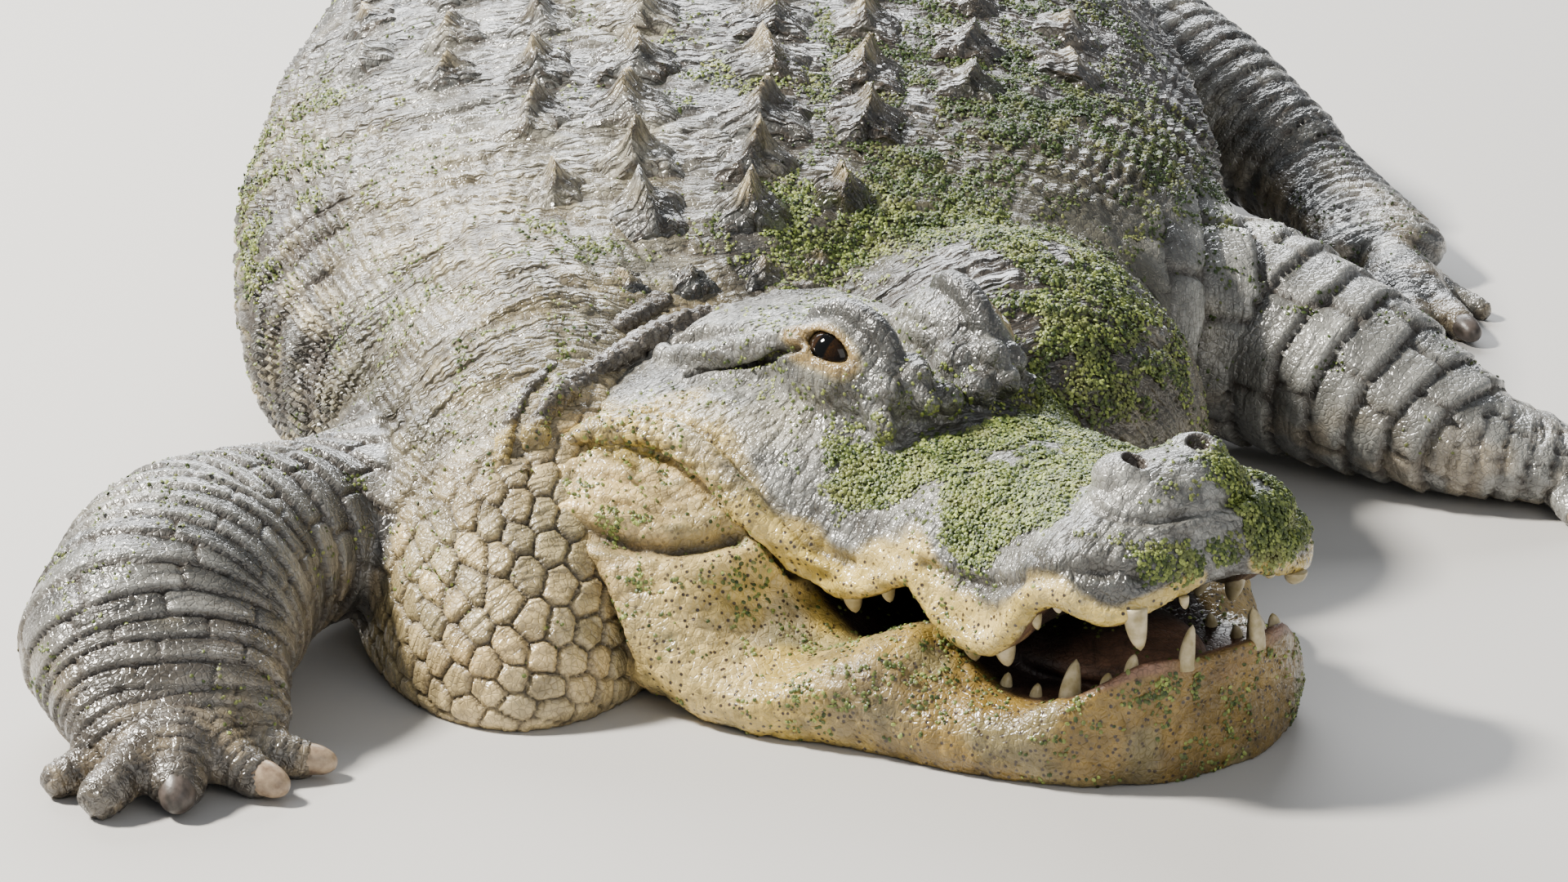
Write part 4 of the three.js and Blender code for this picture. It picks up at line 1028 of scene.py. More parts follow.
def head_form():
    shells = [skull_shell(), table_shell(), jaw_shell(), ball(*NOSE_BUMP, head_point)]
    shells.append(ball(*TONGUE, jaw_point, **FINE_BALL))
    for form in [EYE_MOUND, MOUND_FRONT, EAR_FLAP, CHEEK_PAD]:
        shells += both_sides(form)
    base = fused("head_base", shells, HEAD_VOXEL)
    edges = edges_of(base)
    p = points_of(base)
    f, _, h = head_coords(p)
    soft = smooth(0.045, 0.062, h) * smooth(0.0, 0.05, f)
    p = relaxed(p, edges, rounds=40, weight=0.6 * soft)
    p = relaxed(p, edges, rounds=12, weight=0.5 * smooth(0.26, 0.32, f) * (1 - soft))
    set_points(base, p)
    shells = [shell_of(base), lip_roll(-1), lip_roll(1)]
    for place, radii in BROW_KNOBS:
        shells += both_sides((place, tuple(KNOB_GROWTH * r for r in radii)))
    for points in ROLLS.values():
        right = roll_shell(points)
        shells += [right, mirrored(right)]
    shells += both_sides(NOSTRIL_DISC)
    cutters = both_sides(NOSTRIL)
    for side in (-1, 1):
        shells.append(ball(eye_at(side), (LID_RADIUS,) * 3, head_point))
        shells += [lid_roll(side, *roll) for roll in LID_ROLLS]
        cutters += [eye_cutter(side), ball(eye_at(side), (EYE_RADIUS,) * 3, head_point, **FINE_BALL)]
    mesh = fused("head_form", shells, HEAD_VOXEL, cutters)
    set_points(mesh, relaxed(points_of(mesh), edges_of(mesh), rounds=2, weight=0.5))
    return mesh


def head_weed(f, l, h):
    """How thick the duckweed lies on the head, from 0 to 1."""
    near = np.interp(
        f, [0, 0.044, 0.1, 0.16, 0.21, 0.267, 0.3], [-0.03, -0.066, -0.076, -0.084, -0.083, -0.088, -0.09])
    rear = np.interp(
        l, [-0.09, -0.079, -0.062, -0.038, 0.008, 0.042, 0.075, 0.093, 0.12, 0.156],
        [0.272, 0.262, 0.236, 0.218, 0.216, 0.222, 0.25, 0.31, 0.42, 0.46])
    edge = 0.010 * np.sin(f * 60)
    snout = smooth(near - 0.012, near + 0.006, l + edge) * smooth(rear + 0.012, rear - 0.012, f)
    snout *= smooth(0.006, 0.022, h)
    bare = smooth(1.25, 0.95, np.hypot((f - 0.048) / 0.047, (l + 0.006) / 0.056))
    tip = 0.6 * smooth(0.05, 0.03, f) * smooth(-0.080, -0.050, l)
    tip = tip * smooth(0.016, 0.024, h) * smooth(0.046, 0.036, h)
    far_tip = smooth(0.0, 0.025, l) * smooth(0.05, 0.03, f) * smooth(0.012, 0.022, h)
    thin = 0.16 * smooth(-0.115, -0.095, l) * smooth(0.32, 0.28, f)
    thin = thin * smooth(0.10, 0.08, h) * smooth(0.04, 0.06, h)
    return most(snout * (1 - bare), 0.9 * far_tip, tip, thin)


def patches(p):
    """How thick the duckweed lies at places of the body and the jaw, from 0 to 1."""
    thick = np.zeros(len(p))
    for x, y, z, reach, weight in WEED_PATCHES:
        away = ((p - np.array([x, y, z])) ** 2).sum(1) / reach ** 2
        thick = np.maximum(thick, weight * np.exp(-away))
    on_jaw = smooth(-0.14, -0.17, p[:, 1]) * smooth(0.11, 0.09, p[:, 2])
    return thick * (1 - on_jaw * (0.25 + 0.75 * smooth(0.15, -0.15, noise(p, 0.007, 61))))


def clumped(thick, p, seed):
    """Breaks an even cover up into clumps with bare skin between them."""
    lumps = 0.5 * noise(p, 0.022, seed) + 0.35 * noise(p, 0.008, seed + 1)
    loose = 0.035 * smooth(0.0, 0.5, ragged(p, 0.045, seed + 2, 0.3, 0.012, seed + 3))
    cover = thick * smooth(-0.22, 0.12, 1.5 * lumps + 1.1 * thick - 0.62)
    return np.maximum(cover, loose * smooth(0.02, 0.06, p[:, 2]))


def jaw_and_mouth(p, normal, f, l, h):
    """Shares of the lower jaw and of the mouth's inside at points of the head; the inside share also takes
    the far jaw's inner wall and floor, so that they get the mouth's painted shade.
    """
    half = column(SKULL, f, 1)
    inner = half * LIP_INNER
    over = h - column(SKULL, f, 2)
    z = p[:, 2]
    over_jaw = z - column(JAW, f, 2)
    below = smooth(0.001, -0.004, over) * smooth(0.008, 0.003, over_jaw)
    behind = smooth(0.27, 0.33, f) * smooth(0.066, 0.054, h) * smooth(0.12, 0.15, np.abs(l))
    outward = np.sign(l)[:, None] * (np.abs(l) / np.maximum(half, 0.02))[:, None] * LEFT
    outward = outward + smooth(0.05, 0.0, f)[:, None] * FORWARD
    faces_in = smooth(0.10, -0.15, (normal * outward).sum(1)) * smooth(0.010, 0.004, over)
    inside = np.maximum(smooth(0.002, -0.004, np.abs(l) - inner), faces_in) * smooth(0.018, 0.013, over)
    inside *= smooth(-0.006, -0.001, over_jaw + 0.35 * (inner - np.abs(l))) * smooth(0.40, 0.38, f)
    inside *= smooth(0.006, 0.014, f)
    far_wall_shade = smooth(0.05, 0.35, -(normal * LEFT).sum(1)) * smooth(0.0, 0.010, l) * smooth(0.30, 0.26, f)
    far_wall_shade = far_wall_shade * smooth(0.0, -0.004, over) * smooth(1.0, 0.97, l / half)
    far_floor_shade = smooth(0.0, 0.008, l) * smooth(0.028, 0.036, f) * smooth(0.30, 0.26, f)
    far_floor_shade = far_floor_shade * smooth(0.002, -0.002, over)
    far_floor_shade = far_floor_shade * smooth(0.99, 0.93, l / column(JAW, f, 1)) * smooth(0.02, 0.03, z)
    return np.maximum(below, behind), most(inside, far_wall_shade, far_floor_shade)


def head_skin():
    mesh = head_form()
    p = points_of(mesh)
    normal = normals_of(mesh)
    f, l, h = head_coords(p)
    flat = np.stack([f, -np.abs(l), h], 1)
    half = column(SKULL, f, 1)
    over = h - column(SKULL, f, 2)
    is_jaw, inside = jaw_and_mouth(p, normal, f, l, h)
    upper = 1 - is_jaw
    outer = 1 - inside

    move = np.zeros(len(p))
    groove = np.zeros(len(p))
    for width, depth, line in FOLDS.values():
        away = line_distance(flat, line)
        dip = np.exp(-(away / width) ** 2)
        move += -depth * dip + 0.30 * depth * np.exp(-((away - 2.2 * width) / (1.3 * width)) ** 2)
        groove = np.maximum(groove, dip * min(1, depth / FOLD_FULL))
    # Small net of cracked skin on the skull, rounder scales on the jaw, rows of them on the lips
    crack, shade = pebbles(p + 0.004 * noise(p, 0.03)[:, None], 0.009, 0.9, 3)
    crack = smooth(0, 0.25, crack)
    bead, _ = pebbles(p, 0.0075, 0.8, 5)
    bead = smooth(0, 0.35, bead)
    band = np.interp(f, *np.transpose(LIP_BAND))
    fine = noise(p, 0.018, 13)
    mid = noise(p, 0.032, 14)
    broad = noise(p, 0.06, 12)
    on_lip = smooth(1.15, 0.75, over / band + 0.25 * fine) * smooth(0.55, 0.75, np.abs(l) / half) * upper
    on_lip *= smooth(-0.006, 0.0, over)
    off_lip = 1 - on_lip
    roll_net = smooth(0.26, 0.30, f) * on_lip
    wrinkle = noise(np.stack([f * 0.6, l * 1.0, h * 3.2], 1), 0.011, 8)
    cheek = smooth(0.28, 0.32, f) * smooth(0.12, 0.15, np.abs(l)) * smooth(0.080, 0.066, h)
    rough = noise(p, 0.028, 1) * 0.0016 + noise(p, 0.011, 2) * 0.0004
    crease = np.abs(noise(p * np.array([1, 1, 1.6]), 0.016, 17)) ** 0.7
    napes = [line_distance(flat, roll_line(name)) for name in ("nape", "nape_outer")]
    rope = most(*(smooth(0.013, 0.008, away) for away in napes))
    around_rope = most(*(smooth(0.030, 0.012, away) for away in napes))
    knob, _ = pebbles(p, 0.0065, 0.8, 6)
    move += rope * 0.0018 * (smooth(0, 0.4, knob) - 0.5)
    # Calm places round the eye and on the nose
    centre, gaze, along, up = eye_frame(-1)
    eye = np.linalg.norm(flat - (centre + gaze * EYE_RADIUS), axis=1)
    hood = smooth(0.013, 0.008, line_distance(flat, roll_line("brow")))
    calm = smooth(0.016, 0.030, eye) * (1 - 0.8 * hood)
    nose = smooth(1.25, 0.95, np.hypot((f - 0.050) / 0.042, l / 0.056)) * smooth(0.050, 0.062, h)
    skull_relief = upper * (0.0003 * (crack - 0.6) + 0.0018 * (crease - 0.4))
    jaw_relief = is_jaw * (0.0006 * (bead - 0.5) + 0.0022 * (crease - 0.4))
    move += calm * outer * (1 - 0.75 * nose) * (
        rough + skull_relief + roll_net * 0.0014 * (bead - 0.5) + jaw_relief + cheek * 0.0014 * wrinkle)
    hole = np.linalg.norm((flat * [1, -1, 1] - np.array(NOSTRIL[0])) / np.array(NOSTRIL[1]), axis=1)
    slit = np.exp(-(line_distance(flat, FOLDS["ear_slit"][2]) / 0.0034) ** 2)
    p = p + normal * move[:, None]
    p[:, 2] = np.maximum(p[:, 2], FLOOR_LIFT)
    set_points(mesh, p)

    way = unit(flat - centre)
    lid_x = way @ along / (OPEN_HALF / EYE_RADIUS)
    lid_y = way @ up / (OPEN_UPPER / EYE_RADIUS)
    ring = np.hypot(lid_x * 0.9, lid_y * 0.75) / np.maximum(way @ gaze, 0.2)
    lids = smooth(1.75, 1.30, ring + 0.35 * fine) * smooth(0.040, 0.030, eye) * (1 - 0.8 * hood)
    lid_lines = np.abs(np.sin(ring * 9.0 + 1.2 * fine))
    # Darkness of the grooves: dark seams of scales and lines on the lids, and painted shade in folds,
    # creases, the nostrils and the ear slit
    groove = most(
        groove,
        0.75 * rope * (1 - smooth(0, 0.35, knob)),
        0.30 * (1 - crack) * upper * off_lip * calm,
        0.75 * smooth(0.20, 0.0, crease) * upper * off_lip * calm * (1 - 0.6 * nose),
        0.8 * roll_net * (1 - bead),
        0.45 * cheek * smooth(-0.35, -0.8, wrinkle),
        0.45 * is_jaw * smooth(0.14, 0.0, crease) * outer,
        0.75 * lids * smooth(0.30, 0.05, lid_lines),
        1.1 * smooth(1.16, 1.02, hole),
        slit * 1.15)

    mound = np.exp(-(np.hypot(f - 0.275, (np.abs(l) - 0.035) * 1.2) / 0.038) ** 2)
    cover = np.maximum(head_weed(f, l, h) * upper, patches(p)) * outer
    bare = (1 - 0.25 * is_jaw) * (1 - 0.9 * hood)
    bare = bare * (1 - 0.95 * smooth(0.3, 0.6, mound) * smooth(0.222, 0.236, f)) * smooth(0.020, 0.028, eye)
    jaw_weed = 0.10 * is_jaw * smooth(0.15, 0.55, ragged(p, 0.020, 65, 0.5, 0.007, 66)) * outer
    weed = np.maximum(clumped(cover, p, 51) * bare, jaw_weed)

    lip_share = np.clip(0.20 + 0.9 * mid + 0.5 * over / band, 0, 1)
    lip_tint = mix(OCHRE * [1.12, 1.30, 0.70], CREAM * [1.12, 1.06, 0.68], lip_share)
    jaw_tint = mix(OCHRE * [1.08, 1.24, 0.75], CREAM * [1.15, 1.08, 0.75], np.clip(0.52 + 0.8 * mid, 0, 1))
    stain = smooth(0.05, 0.45, ragged(p, 0.014, 62, 0.4, 0.006, 63))
    # Jaw tint; its front towards the snout goes to dark brown ochre as painted shade
    jaw_tint = layered(
        jaw_tint * 0.92,
        (ASH, 0.50 * smooth(0.10, 0.60, ragged(p, 0.040, 15, 0.35, 0.012, 18))),
        (OLIVE * 0.9, 0.50 * stain * smooth(-0.3, 0.3, noise(p, 0.05, 64))),
        (OCHRE * [0.35, 0.34, 0.15], 0.92 * smooth(0.25, 0.10, f)),
        (OLIVE, 0.55 * smooth(0.25, 0.7, noise(p, 0.03, 16))))
    pad_tint = mix(CREAM * [1.25, 1.15, 0.95], OLIVE, 0.65 * smooth(0.2, 0.8, wrinkle + 0.4 * mid))
    deep_shade = np.maximum(smooth(-0.004, 0.004, over), smooth(0.07, 0.11, f))
    tone = np.clip(0.48 + 0.6 * broad + 0.5 * fine + 0.3 * (shade - 0.5), 0, 1)
    tint = layered(
        mix(SLATE * 1.2, SILVER * 0.98, tone),
        (SLATE * 0.8, 0.7 * nose * smooth(-0.05, 0.45, ragged(p, 0.020, 67, 0.4, 0.006, 68))),
        (SLATE, 0.55 * smooth(0.15, 0.75, noise(p, 0.028, 19)) * (1 - 0.5 * smooth(0.3, 0.34, f))),
        (OLIVE, 0.30 * smooth(0.1, 0.8, mid)),
        (BONE * 1.45, 0.45 * smooth(0.24, 0.30, f) * smooth(0.105, 0.085, h) * smooth(-0.3, 0.5, mid)),
        (SLATE * 0.8, 0.75 * mound),
        (SLATE * 0.6, 0.85 * hood),
        (UMBER * 1.2, np.maximum(0.8 * rope, 0.5 * around_rope * smooth(-0.3, 0.3, fine))),
        (lip_tint, 0.95 * on_lip),
        (jaw_tint, is_jaw),
        (pad_tint, 0.85 * cheek * off_lip),
        # Painted shade in the mouth: gullet colour going to near black deeper in
        (mix(GULLET, MOUTH_SHADE, deep_shade), inside),
        (mix(LID, BUFF, smooth(1.15, 1.45, ring + 0.3 * fine)), 0.9 * lids),
        # Under thick weed the skin goes dark green: weed colour darkened as painted shade between the fronds
        (WEED * 0.3, 0.85 * smooth(0.60, 0.95, weed) * upper))
    stream = outer * (1 - 0.7 * is_jaw) * (1 - 0.6 * on_lip) * (0.18 + 0.22 * calm) * (1 - 0.5 * nose)
    paint(mesh, tint=tint, groove=groove, weed=weed,
          dots=np.maximum(is_jaw, on_lip) * outer * (1 - 0.85 * cheek),
          moist=outer * (1 - 0.3 * is_jaw), flow=np.stack([f, 0.45 * l, 0.45 * h], 1), stream=stream)
    return mesh


def line_coords(p, place, way, across, up, wide, high):
    """Length along a limb, angle round it, and distance from its middle as a share of its radius."""
    step = np.linalg.norm(np.diff(place, axis=0), axis=1)
    arc = np.concatenate([[0], np.cumsum(step)])
    shares = np.array_split(p, max(1, len(p) // 20000))
    at = np.concatenate([((part[:, None] - place[None]) ** 2).sum(2).argmin(1) for part in shares])
    d = p - place[at]
    ahead = (d * way[at]).sum(1)
    along = arc[at] + ahead
    a = (d * across[at]).sum(1) / wide[at]
    b = (d * up[at]).sum(1) / high[at]
    end = (at == 0) & (ahead < 0) | (at == len(place) - 1) & (ahead > 0)
    c = np.where(end, ahead / high[at], 0)
    return along, np.arctan2(b, a), np.sqrt(a * a + b * b + c * c)


def limb_lines():
    """Every length of limb and every toe, with the limb's name, its place in it and its line."""
    for name, parts in LIMBS.items():
        start = 0
        for part, rows in enumerate(parts):
            line = limb_frame(rows, 40)
            yield name, part, start, line
            start += np.linalg.norm(np.diff(line[0], axis=0), axis=1).sum()
        for toe in TOES[name]:
            place, way = bezier(toe_line(parts[-1], toe), np.linspace(0, 1, 24))
            across = sideways(way)
            size = toe[2] * lerp(1.1, 0.62, np.linspace(0, 1, 24) ** 2)
            yield name, 3, start, (place, way, across, np.cross(across, way), size, size)


def body_form():
    shells = [body_shell(), *[jowl_shell(j) for j in JOWLS]]
    for name, parts in LIMBS.items():
        shells += [limb_shell(rows) for rows in parts]
        shells += [toe_shell(parts[-1], toe) for toe in TOES[name]]
    mesh = fused("body_form", shells, BODY_VOXEL)
    edges = edges_of(mesh)
    p = points_of(mesh)
    shoulder = smooth(0.30, 0.15, p[:, 1]) * smooth(0.02, 0.12, p[:, 2]) * smooth(-0.34, -0.26, p[:, 0])
    joint = np.zeros(len(p))
    for place in JOINTS:
        joint = np.maximum(joint, np.exp(-((p - np.array(place)) ** 2).sum(1) / JOINT_REACH ** 2))
    p = relaxed(p, edges, rounds=70, weight=0.6 * np.maximum(shoulder, joint))
    set_points(mesh, relaxed(p, edges, rounds=4, weight=0.6))

    def near_camera(c):
        s, _ = body_coords(c)
        arm = (c[:, 0] < -0.15) & (c[:, 1] < 0.22)
        jowl = (c[:, 1] < 0.10) & (s < 0.30)
        return (arm | jowl) & (c[:, 2] > 0.004)
    refine(mesh, near_camera)
    p = points_of(mesh)
    p[:, 2] = np.where(p[:, 2] < 0.003, 0, p[:, 2])
    set_points(mesh, p)
    return mesh


def trunk_tint(p, across, shade=0.0):
    """Grey of the back and the flanks, with painted shade making the far side browner and darker."""
    tone = 0.46 + 0.55 * noise(p, 0.09, 31) + 0.45 * noise(p, 0.02, 32) + shade
    # Painted shade on the far side of the body, strongest towards the front
    dark = smooth(-0.01, 0.11, across) * smooth(1.3, 0.8, p[:, 1])
    return layered(
        mix(SLATE * 0.45, SILVER * 0.62, np.clip(tone + 0.05 * smooth(0.19, 0.24, p[:, 2]), 0, 1)),
        (BONE, 0.45 * smooth(0.0, 0.7, noise(p, 0.045, 34))),
        (UMBER * 0.30 + 0.006, 0.92 * dark))


def limb_fields(p):
    """Place along the nearest limb, angle round it, its scales and girth, and distance from its middle."""
    reach = np.zeros(len(p))
    angle = np.zeros(len(p))
    scale = np.ones((len(p), 2))
    girth = np.ones(len(p))
    closest = np.full(len(p), FAR)
    for name, part, start, line in limb_lines():
        low = line[0].min(0) - LIMB_MARGIN
        high = line[0].max(0) + LIMB_MARGIN
        near = np.flatnonzero(np.all((p > low) & (p < high), axis=1))
        along, around, radial = line_coords(p[near], *line)
        take = radial < closest[near]
        spot = near[take]
        closest[spot] = radial[take]
        reach[spot] = start + along[take]
        angle[spot] = around[take]
        scale[spot] = LIMB_SCALES[name][part]
        girth[spot] = 2 * np.pi * line[4].mean()
    return reach, angle, scale, girth, closest


def jowl_fields(p):
    """Lengths round and up the nearer jowl, and the share of jowl."""
    jowl = np.zeros(len(p))
    level = np.zeros(len(p))
    steep = np.zeros(len(p))
    for j in JOWLS:
        a, b, c = j["radii"]
        d = p - np.array(j["at"])
        d[:, 1] -= j["lean"] * d[:, 2]
        q = d / np.array(j["radii"])
        radial = np.linalg.norm(q, axis=1)
        lift = np.arcsin(np.clip(q[:, 2] / np.maximum(radial, 1e-6), -1, 1))
        near = smooth(1.20, 1.05, radial)
        round_it = ellipse_arc(np.arctan2(q[:, 0], -q[:, 1]), a, b) * np.cos(lift)
        level = np.where(near > jowl, round_it, level)
        steep = np.where(near > jowl, ellipse_arc(lift, c, b), steep)
        jowl = np.maximum(jowl, near)
    return level, steep, jowl


def body_skin():
    mesh = body_form()
    p = points_of(mesh)
    normal = normals_of(mesh)
    s, across = body_coords(p)
    half, top, middle = (column(BODY, s, k) for k in (1, 2, 3))
    reach_up = np.where(p[:, 2] > middle, top - middle, middle + 0.05)
    turn = np.arctan2((p[:, 2] - middle) / reach_up, across / half)

    reach, angle, scale, girth, closest = limb_fields(p)
    limb = smooth(1.40, 1.10, closest) * smooth(-0.035, 0.005, reach)
    round_limb = 0.3 * girth / (2 * np.pi)
    limb_flow = np.stack([reach, round_limb * np.cos(angle), round_limb * np.sin(angle)], 1)
    flow = np.where(limb[:, None] > 0.5, limb_flow, np.stack([s, 0.22 * across, 0.22 * p[:, 2]], 1))

    level, steep, jowl = jowl_fields(p)
    jowl *= (1 - limb) * smooth(0.26, 0.16, s)
    right = smooth(0.02, -0.04, across)
    fade_out = 0.112 + 0.30 * (p[:, 0] + 0.22)
    pouch = jowl * right * smooth(0.030, -0.020, p[:, 2] - fade_out + 0.02 * noise(p, 0.04, 27))

    # Scales: share, rise and number, width of the border, height, darkness of the border, slope
    tail = smooth(1.08, 1.14, s) * (1 - limb)
    trunk = (1 - limb) * (1 - pouch) * (1 - tail)
    warp = 0.35 * noise(p, 0.05, 21)
    above = smooth(0.19, 0.24, p[:, 2])
    neck_side = smooth(0.24, 0.14, s) * (1 - above) * smooth(-0.26, -0.22, across)
    lean_u = 0.94 * level - 0.34 * steep
    lean_v = 0.34 * level + 0.94 * steep
    rows = 0.25 * noise(p, 0.06, 24)
    ringed_tail = np.interp(s, [0, 1.105, 1.640, 2.170, 2.690], [0, 8, 16, 24, 32])
    lane = reach / scale[:, 0] + 0.22 * noise(p, 0.045, 25)
    aspect = girth / scale[:, 1] / scale[:, 0]
    rise, shade, down = shingles(angle / (2 * np.pi) * scale[:, 1], lane, aspect, 4)
    flank = shingles(turn / (2 * np.pi) * 150, s / 0.027 + warp, 0.45, 1)[:2]
    back = cells(s / 0.011 + warp, turn / (2 * np.pi) * 120 + warp, 0.8, 5)
    patterns = [
        (trunk * (1 - above) * (1 - 0.75 * neck_side), flank, 0.32, 0.0050, 0.95, 0.0),
        (trunk * above, back, 0.40, 0.0014, 0.35, 0.0),
        (pouch, cells(lean_u / 0.0245 + rows, lean_v / 0.0200 + rows, 0.42, 2), 0.19, 0.0040, 1.0, 0.0),
        (tail, cells(turn / (2 * np.pi) * 18, ringed_tail * 2, 0.15, 3), 0.20, 0.0030, 1.0, 0.0),
        (limb, (rise, shade), 0.22, 0.15 * scale[:, 0], 0.95, 0.55 * down),
    ]
    move = np.zeros(len(p))
    groove = np.zeros(len(p))
    number = np.full(len(p), 0.5)
    for weight, (rise, shade), sharp, height, dark, ramp in patterns:
        up = smooth(0, sharp, rise)
        move += weight * height * (up - 0.5 + ramp)
        groove = np.maximum(groove, weight * dark * (1 - up))
        number = np.where(weight > 0.5, shade, number)
    # Painted highlight: each limb scale lighter towards its lower edge, darker towards its root
    scale_highlight = limb * down

    # Loose skin: fine creases everywhere, and folds down the flanks behind the arms
    streak = np.stack([s, 0.30 * across, 0.30 * p[:, 2]], 1)
    long_crease = np.abs(noise(streak, 0.010, 28)) ** 0.7
    fine_crease = np.abs(noise(p, 0.018, 29)) ** 0.7
    creases = 0.0036 * (long_crease - 0.45) + 0.0018 * (fine_crease - 0.45)
    move += trunk * creases + 0.0010 * pouch * fine_crease
    pleat = s / 0.034 + 0.7 * noise(p, 0.10, 22)
    fold = np.abs((pleat % 1) - 0.5) * 2
    low = smooth(0.21, 0.12, p[:, 2]) * trunk * smooth(0.95, 0.7, s)
    low *= np.maximum(smooth(0.16, 0.26, s), smooth(-0.22, -0.25, across))
    move += low * 0.0060 * (smooth(0.0, 0.5, fold) - 0.8)
    move += noise(p, 0.05, 23) * 0.0022
    move *= smooth(0.0, 0.012, p[:, 2])
    p = p + normal * move[:, None]
    p[:, 2] = np.maximum(p[:, 2], FLOOR_LIFT)
    set_points(mesh, p)

    broad = noise(p, 0.09, 31)
    mid = noise(p, 0.04, 33)
    fine = noise(p, 0.02, 32)
    shade = number - 0.5
    weed = clumped(patches(p), p, 53)
    side_dark = smooth(-0.215, -0.255, across) * smooth(0.205, 0.165, p[:, 2]) * (1 - limb) * (1 - pouch)
    # Darkness of the grooves: dark seams of the scales, and painted shade in the creases and the folds low on
    # the flanks
    groove = most(
        groove,
        0.75 * trunk * smooth(0.26, 0.0, long_crease),
        0.45 * trunk * smooth(0.16, 0.0, fine_crease),
        0.9 * low * smooth(0.18, 0.02, fold),
        0.95 * side_dark * smooth(0.45, 0.10, fold))

    under = smooth(0.17, 0.06, p[:, 2] + 0.03 * mid)
    pale = mix(BONE, BUFF, np.clip(0.30 - 0.6 * broad - 0.5 * shade, 0, 1))
    top_pale = right * smooth(0.46, 0.30, s) * smooth(0.25, 0.20, p[:, 2])
    pouch_share = np.clip(0.45 + 1.1 * shade + 0.5 * mid, 0, 1)
    scaly = mix(BUFF * [1.05, 0.97, 0.85], CREAM * [1.10, 1.0, 0.85], pouch_share)
    # Painted shade where the limbs meet the body
    join = smooth(2.1, 1.3, closest) * (1 - limb) * smooth(0.06, 0.10, p[:, 2]) * (1 - pouch)
    # Painted light: the left arm paler silver, as if lit, most on the scales' lower edges
    left_arm_lit = 0.60 * smooth(0.10, 0.16, p[:, 0]) * smooth(0.5, 0.3, p[:, 1]) * (0.6 + 0.4 * scale_highlight)
    inner = smooth(-0.30, -0.22, p[:, 0]) * smooth(0.14, 0.06, p[:, 2]) * smooth(-0.02, -0.10, p[:, 1])
    speck = smooth(-0.2, 0.4, fine + shade)
    leg_tone = np.clip(0.30 + 0.5 * broad + 0.9 * shade + 0.45 * scale_highlight, 0, 1)
    # Limb tint; the near limbs go dark umber low down near the floor as painted shade
    legs = layered(
        mix(SLATE * 0.45, SILVER * 0.70, leg_tone),
        (BONE, 0.35 * smooth(0.1, 0.8, mid) * (1 - scale_highlight)),
        (SILVER * 1.05, left_arm_lit),
        (UMBER, 0.65 * smooth(0.12, 0.03, p[:, 2] + 0.03 * mid) * smooth(0.1, 0.0, p[:, 0])),
        (TAN, np.clip(smooth(0.085, 0.03, p[:, 2]) * 0.5 * speck + 0.8 * inner * speck, 0, 1)))
    tint = layered(
        trunk_tint(p, across, 0.4 * shade),
        (mix(OLIVE, BUFF, np.clip(0.45 + shade + fine, 0, 1)), 0.65 * under * (1 - limb)),
        (mix(SILVER, pale, np.clip(0.6 + mid, 0, 1)) * [0.80, 0.75, 0.60], 0.65 * top_pale * (1 - limb)),
        (mix(scaly, OLIVE, 0.45 * smooth(0.1, 0.6, broad)), 0.95 * pouch),
        (mix(SLATE, BUFF, smooth(-0.2, 0.5, shade + 0.6 * fine)), 0.85 * side_dark),
        (OLIVE * 0.5, 0.85 * join),
        (legs, limb),
        (CREAM, 0.5 * smooth(0.03, 0.008, p[:, 2]) * (1 - limb)),
        # Under thick weed the skin goes dark green: weed colour darkened as painted shade between the fronds
        (WEED * 0.3, 0.7 * smooth(0.6, 0.95, weed)))
    calm_patch = 0.35 + 0.65 * smooth(-0.35, 0.30, noise(p, 0.055, 35))
    paint(mesh, tint=tint, groove=groove, weed=weed, dots=np.zeros(len(p)), moist=1 - 0.35 * pouch,
          flow=flow, stream=(1 - 0.6 * pouch) * np.abs(2 * limb - 1) * (1 - 0.70 * limb) * calm_patch)
    return mesh


# Plates of the back
def back_point(distance, across):
    """Place on the body's surface at a level distance to the left of the ridge."""
    distance, across = np.broadcast_arrays(distance, across)
    half = column(BODY, distance, 1)
    square = column(BODY, distance, 4)
    share = np.clip(across / half, -0.995, 0.995)
    return body_point(distance, np.arccos(signed_power(share, square / 2)))


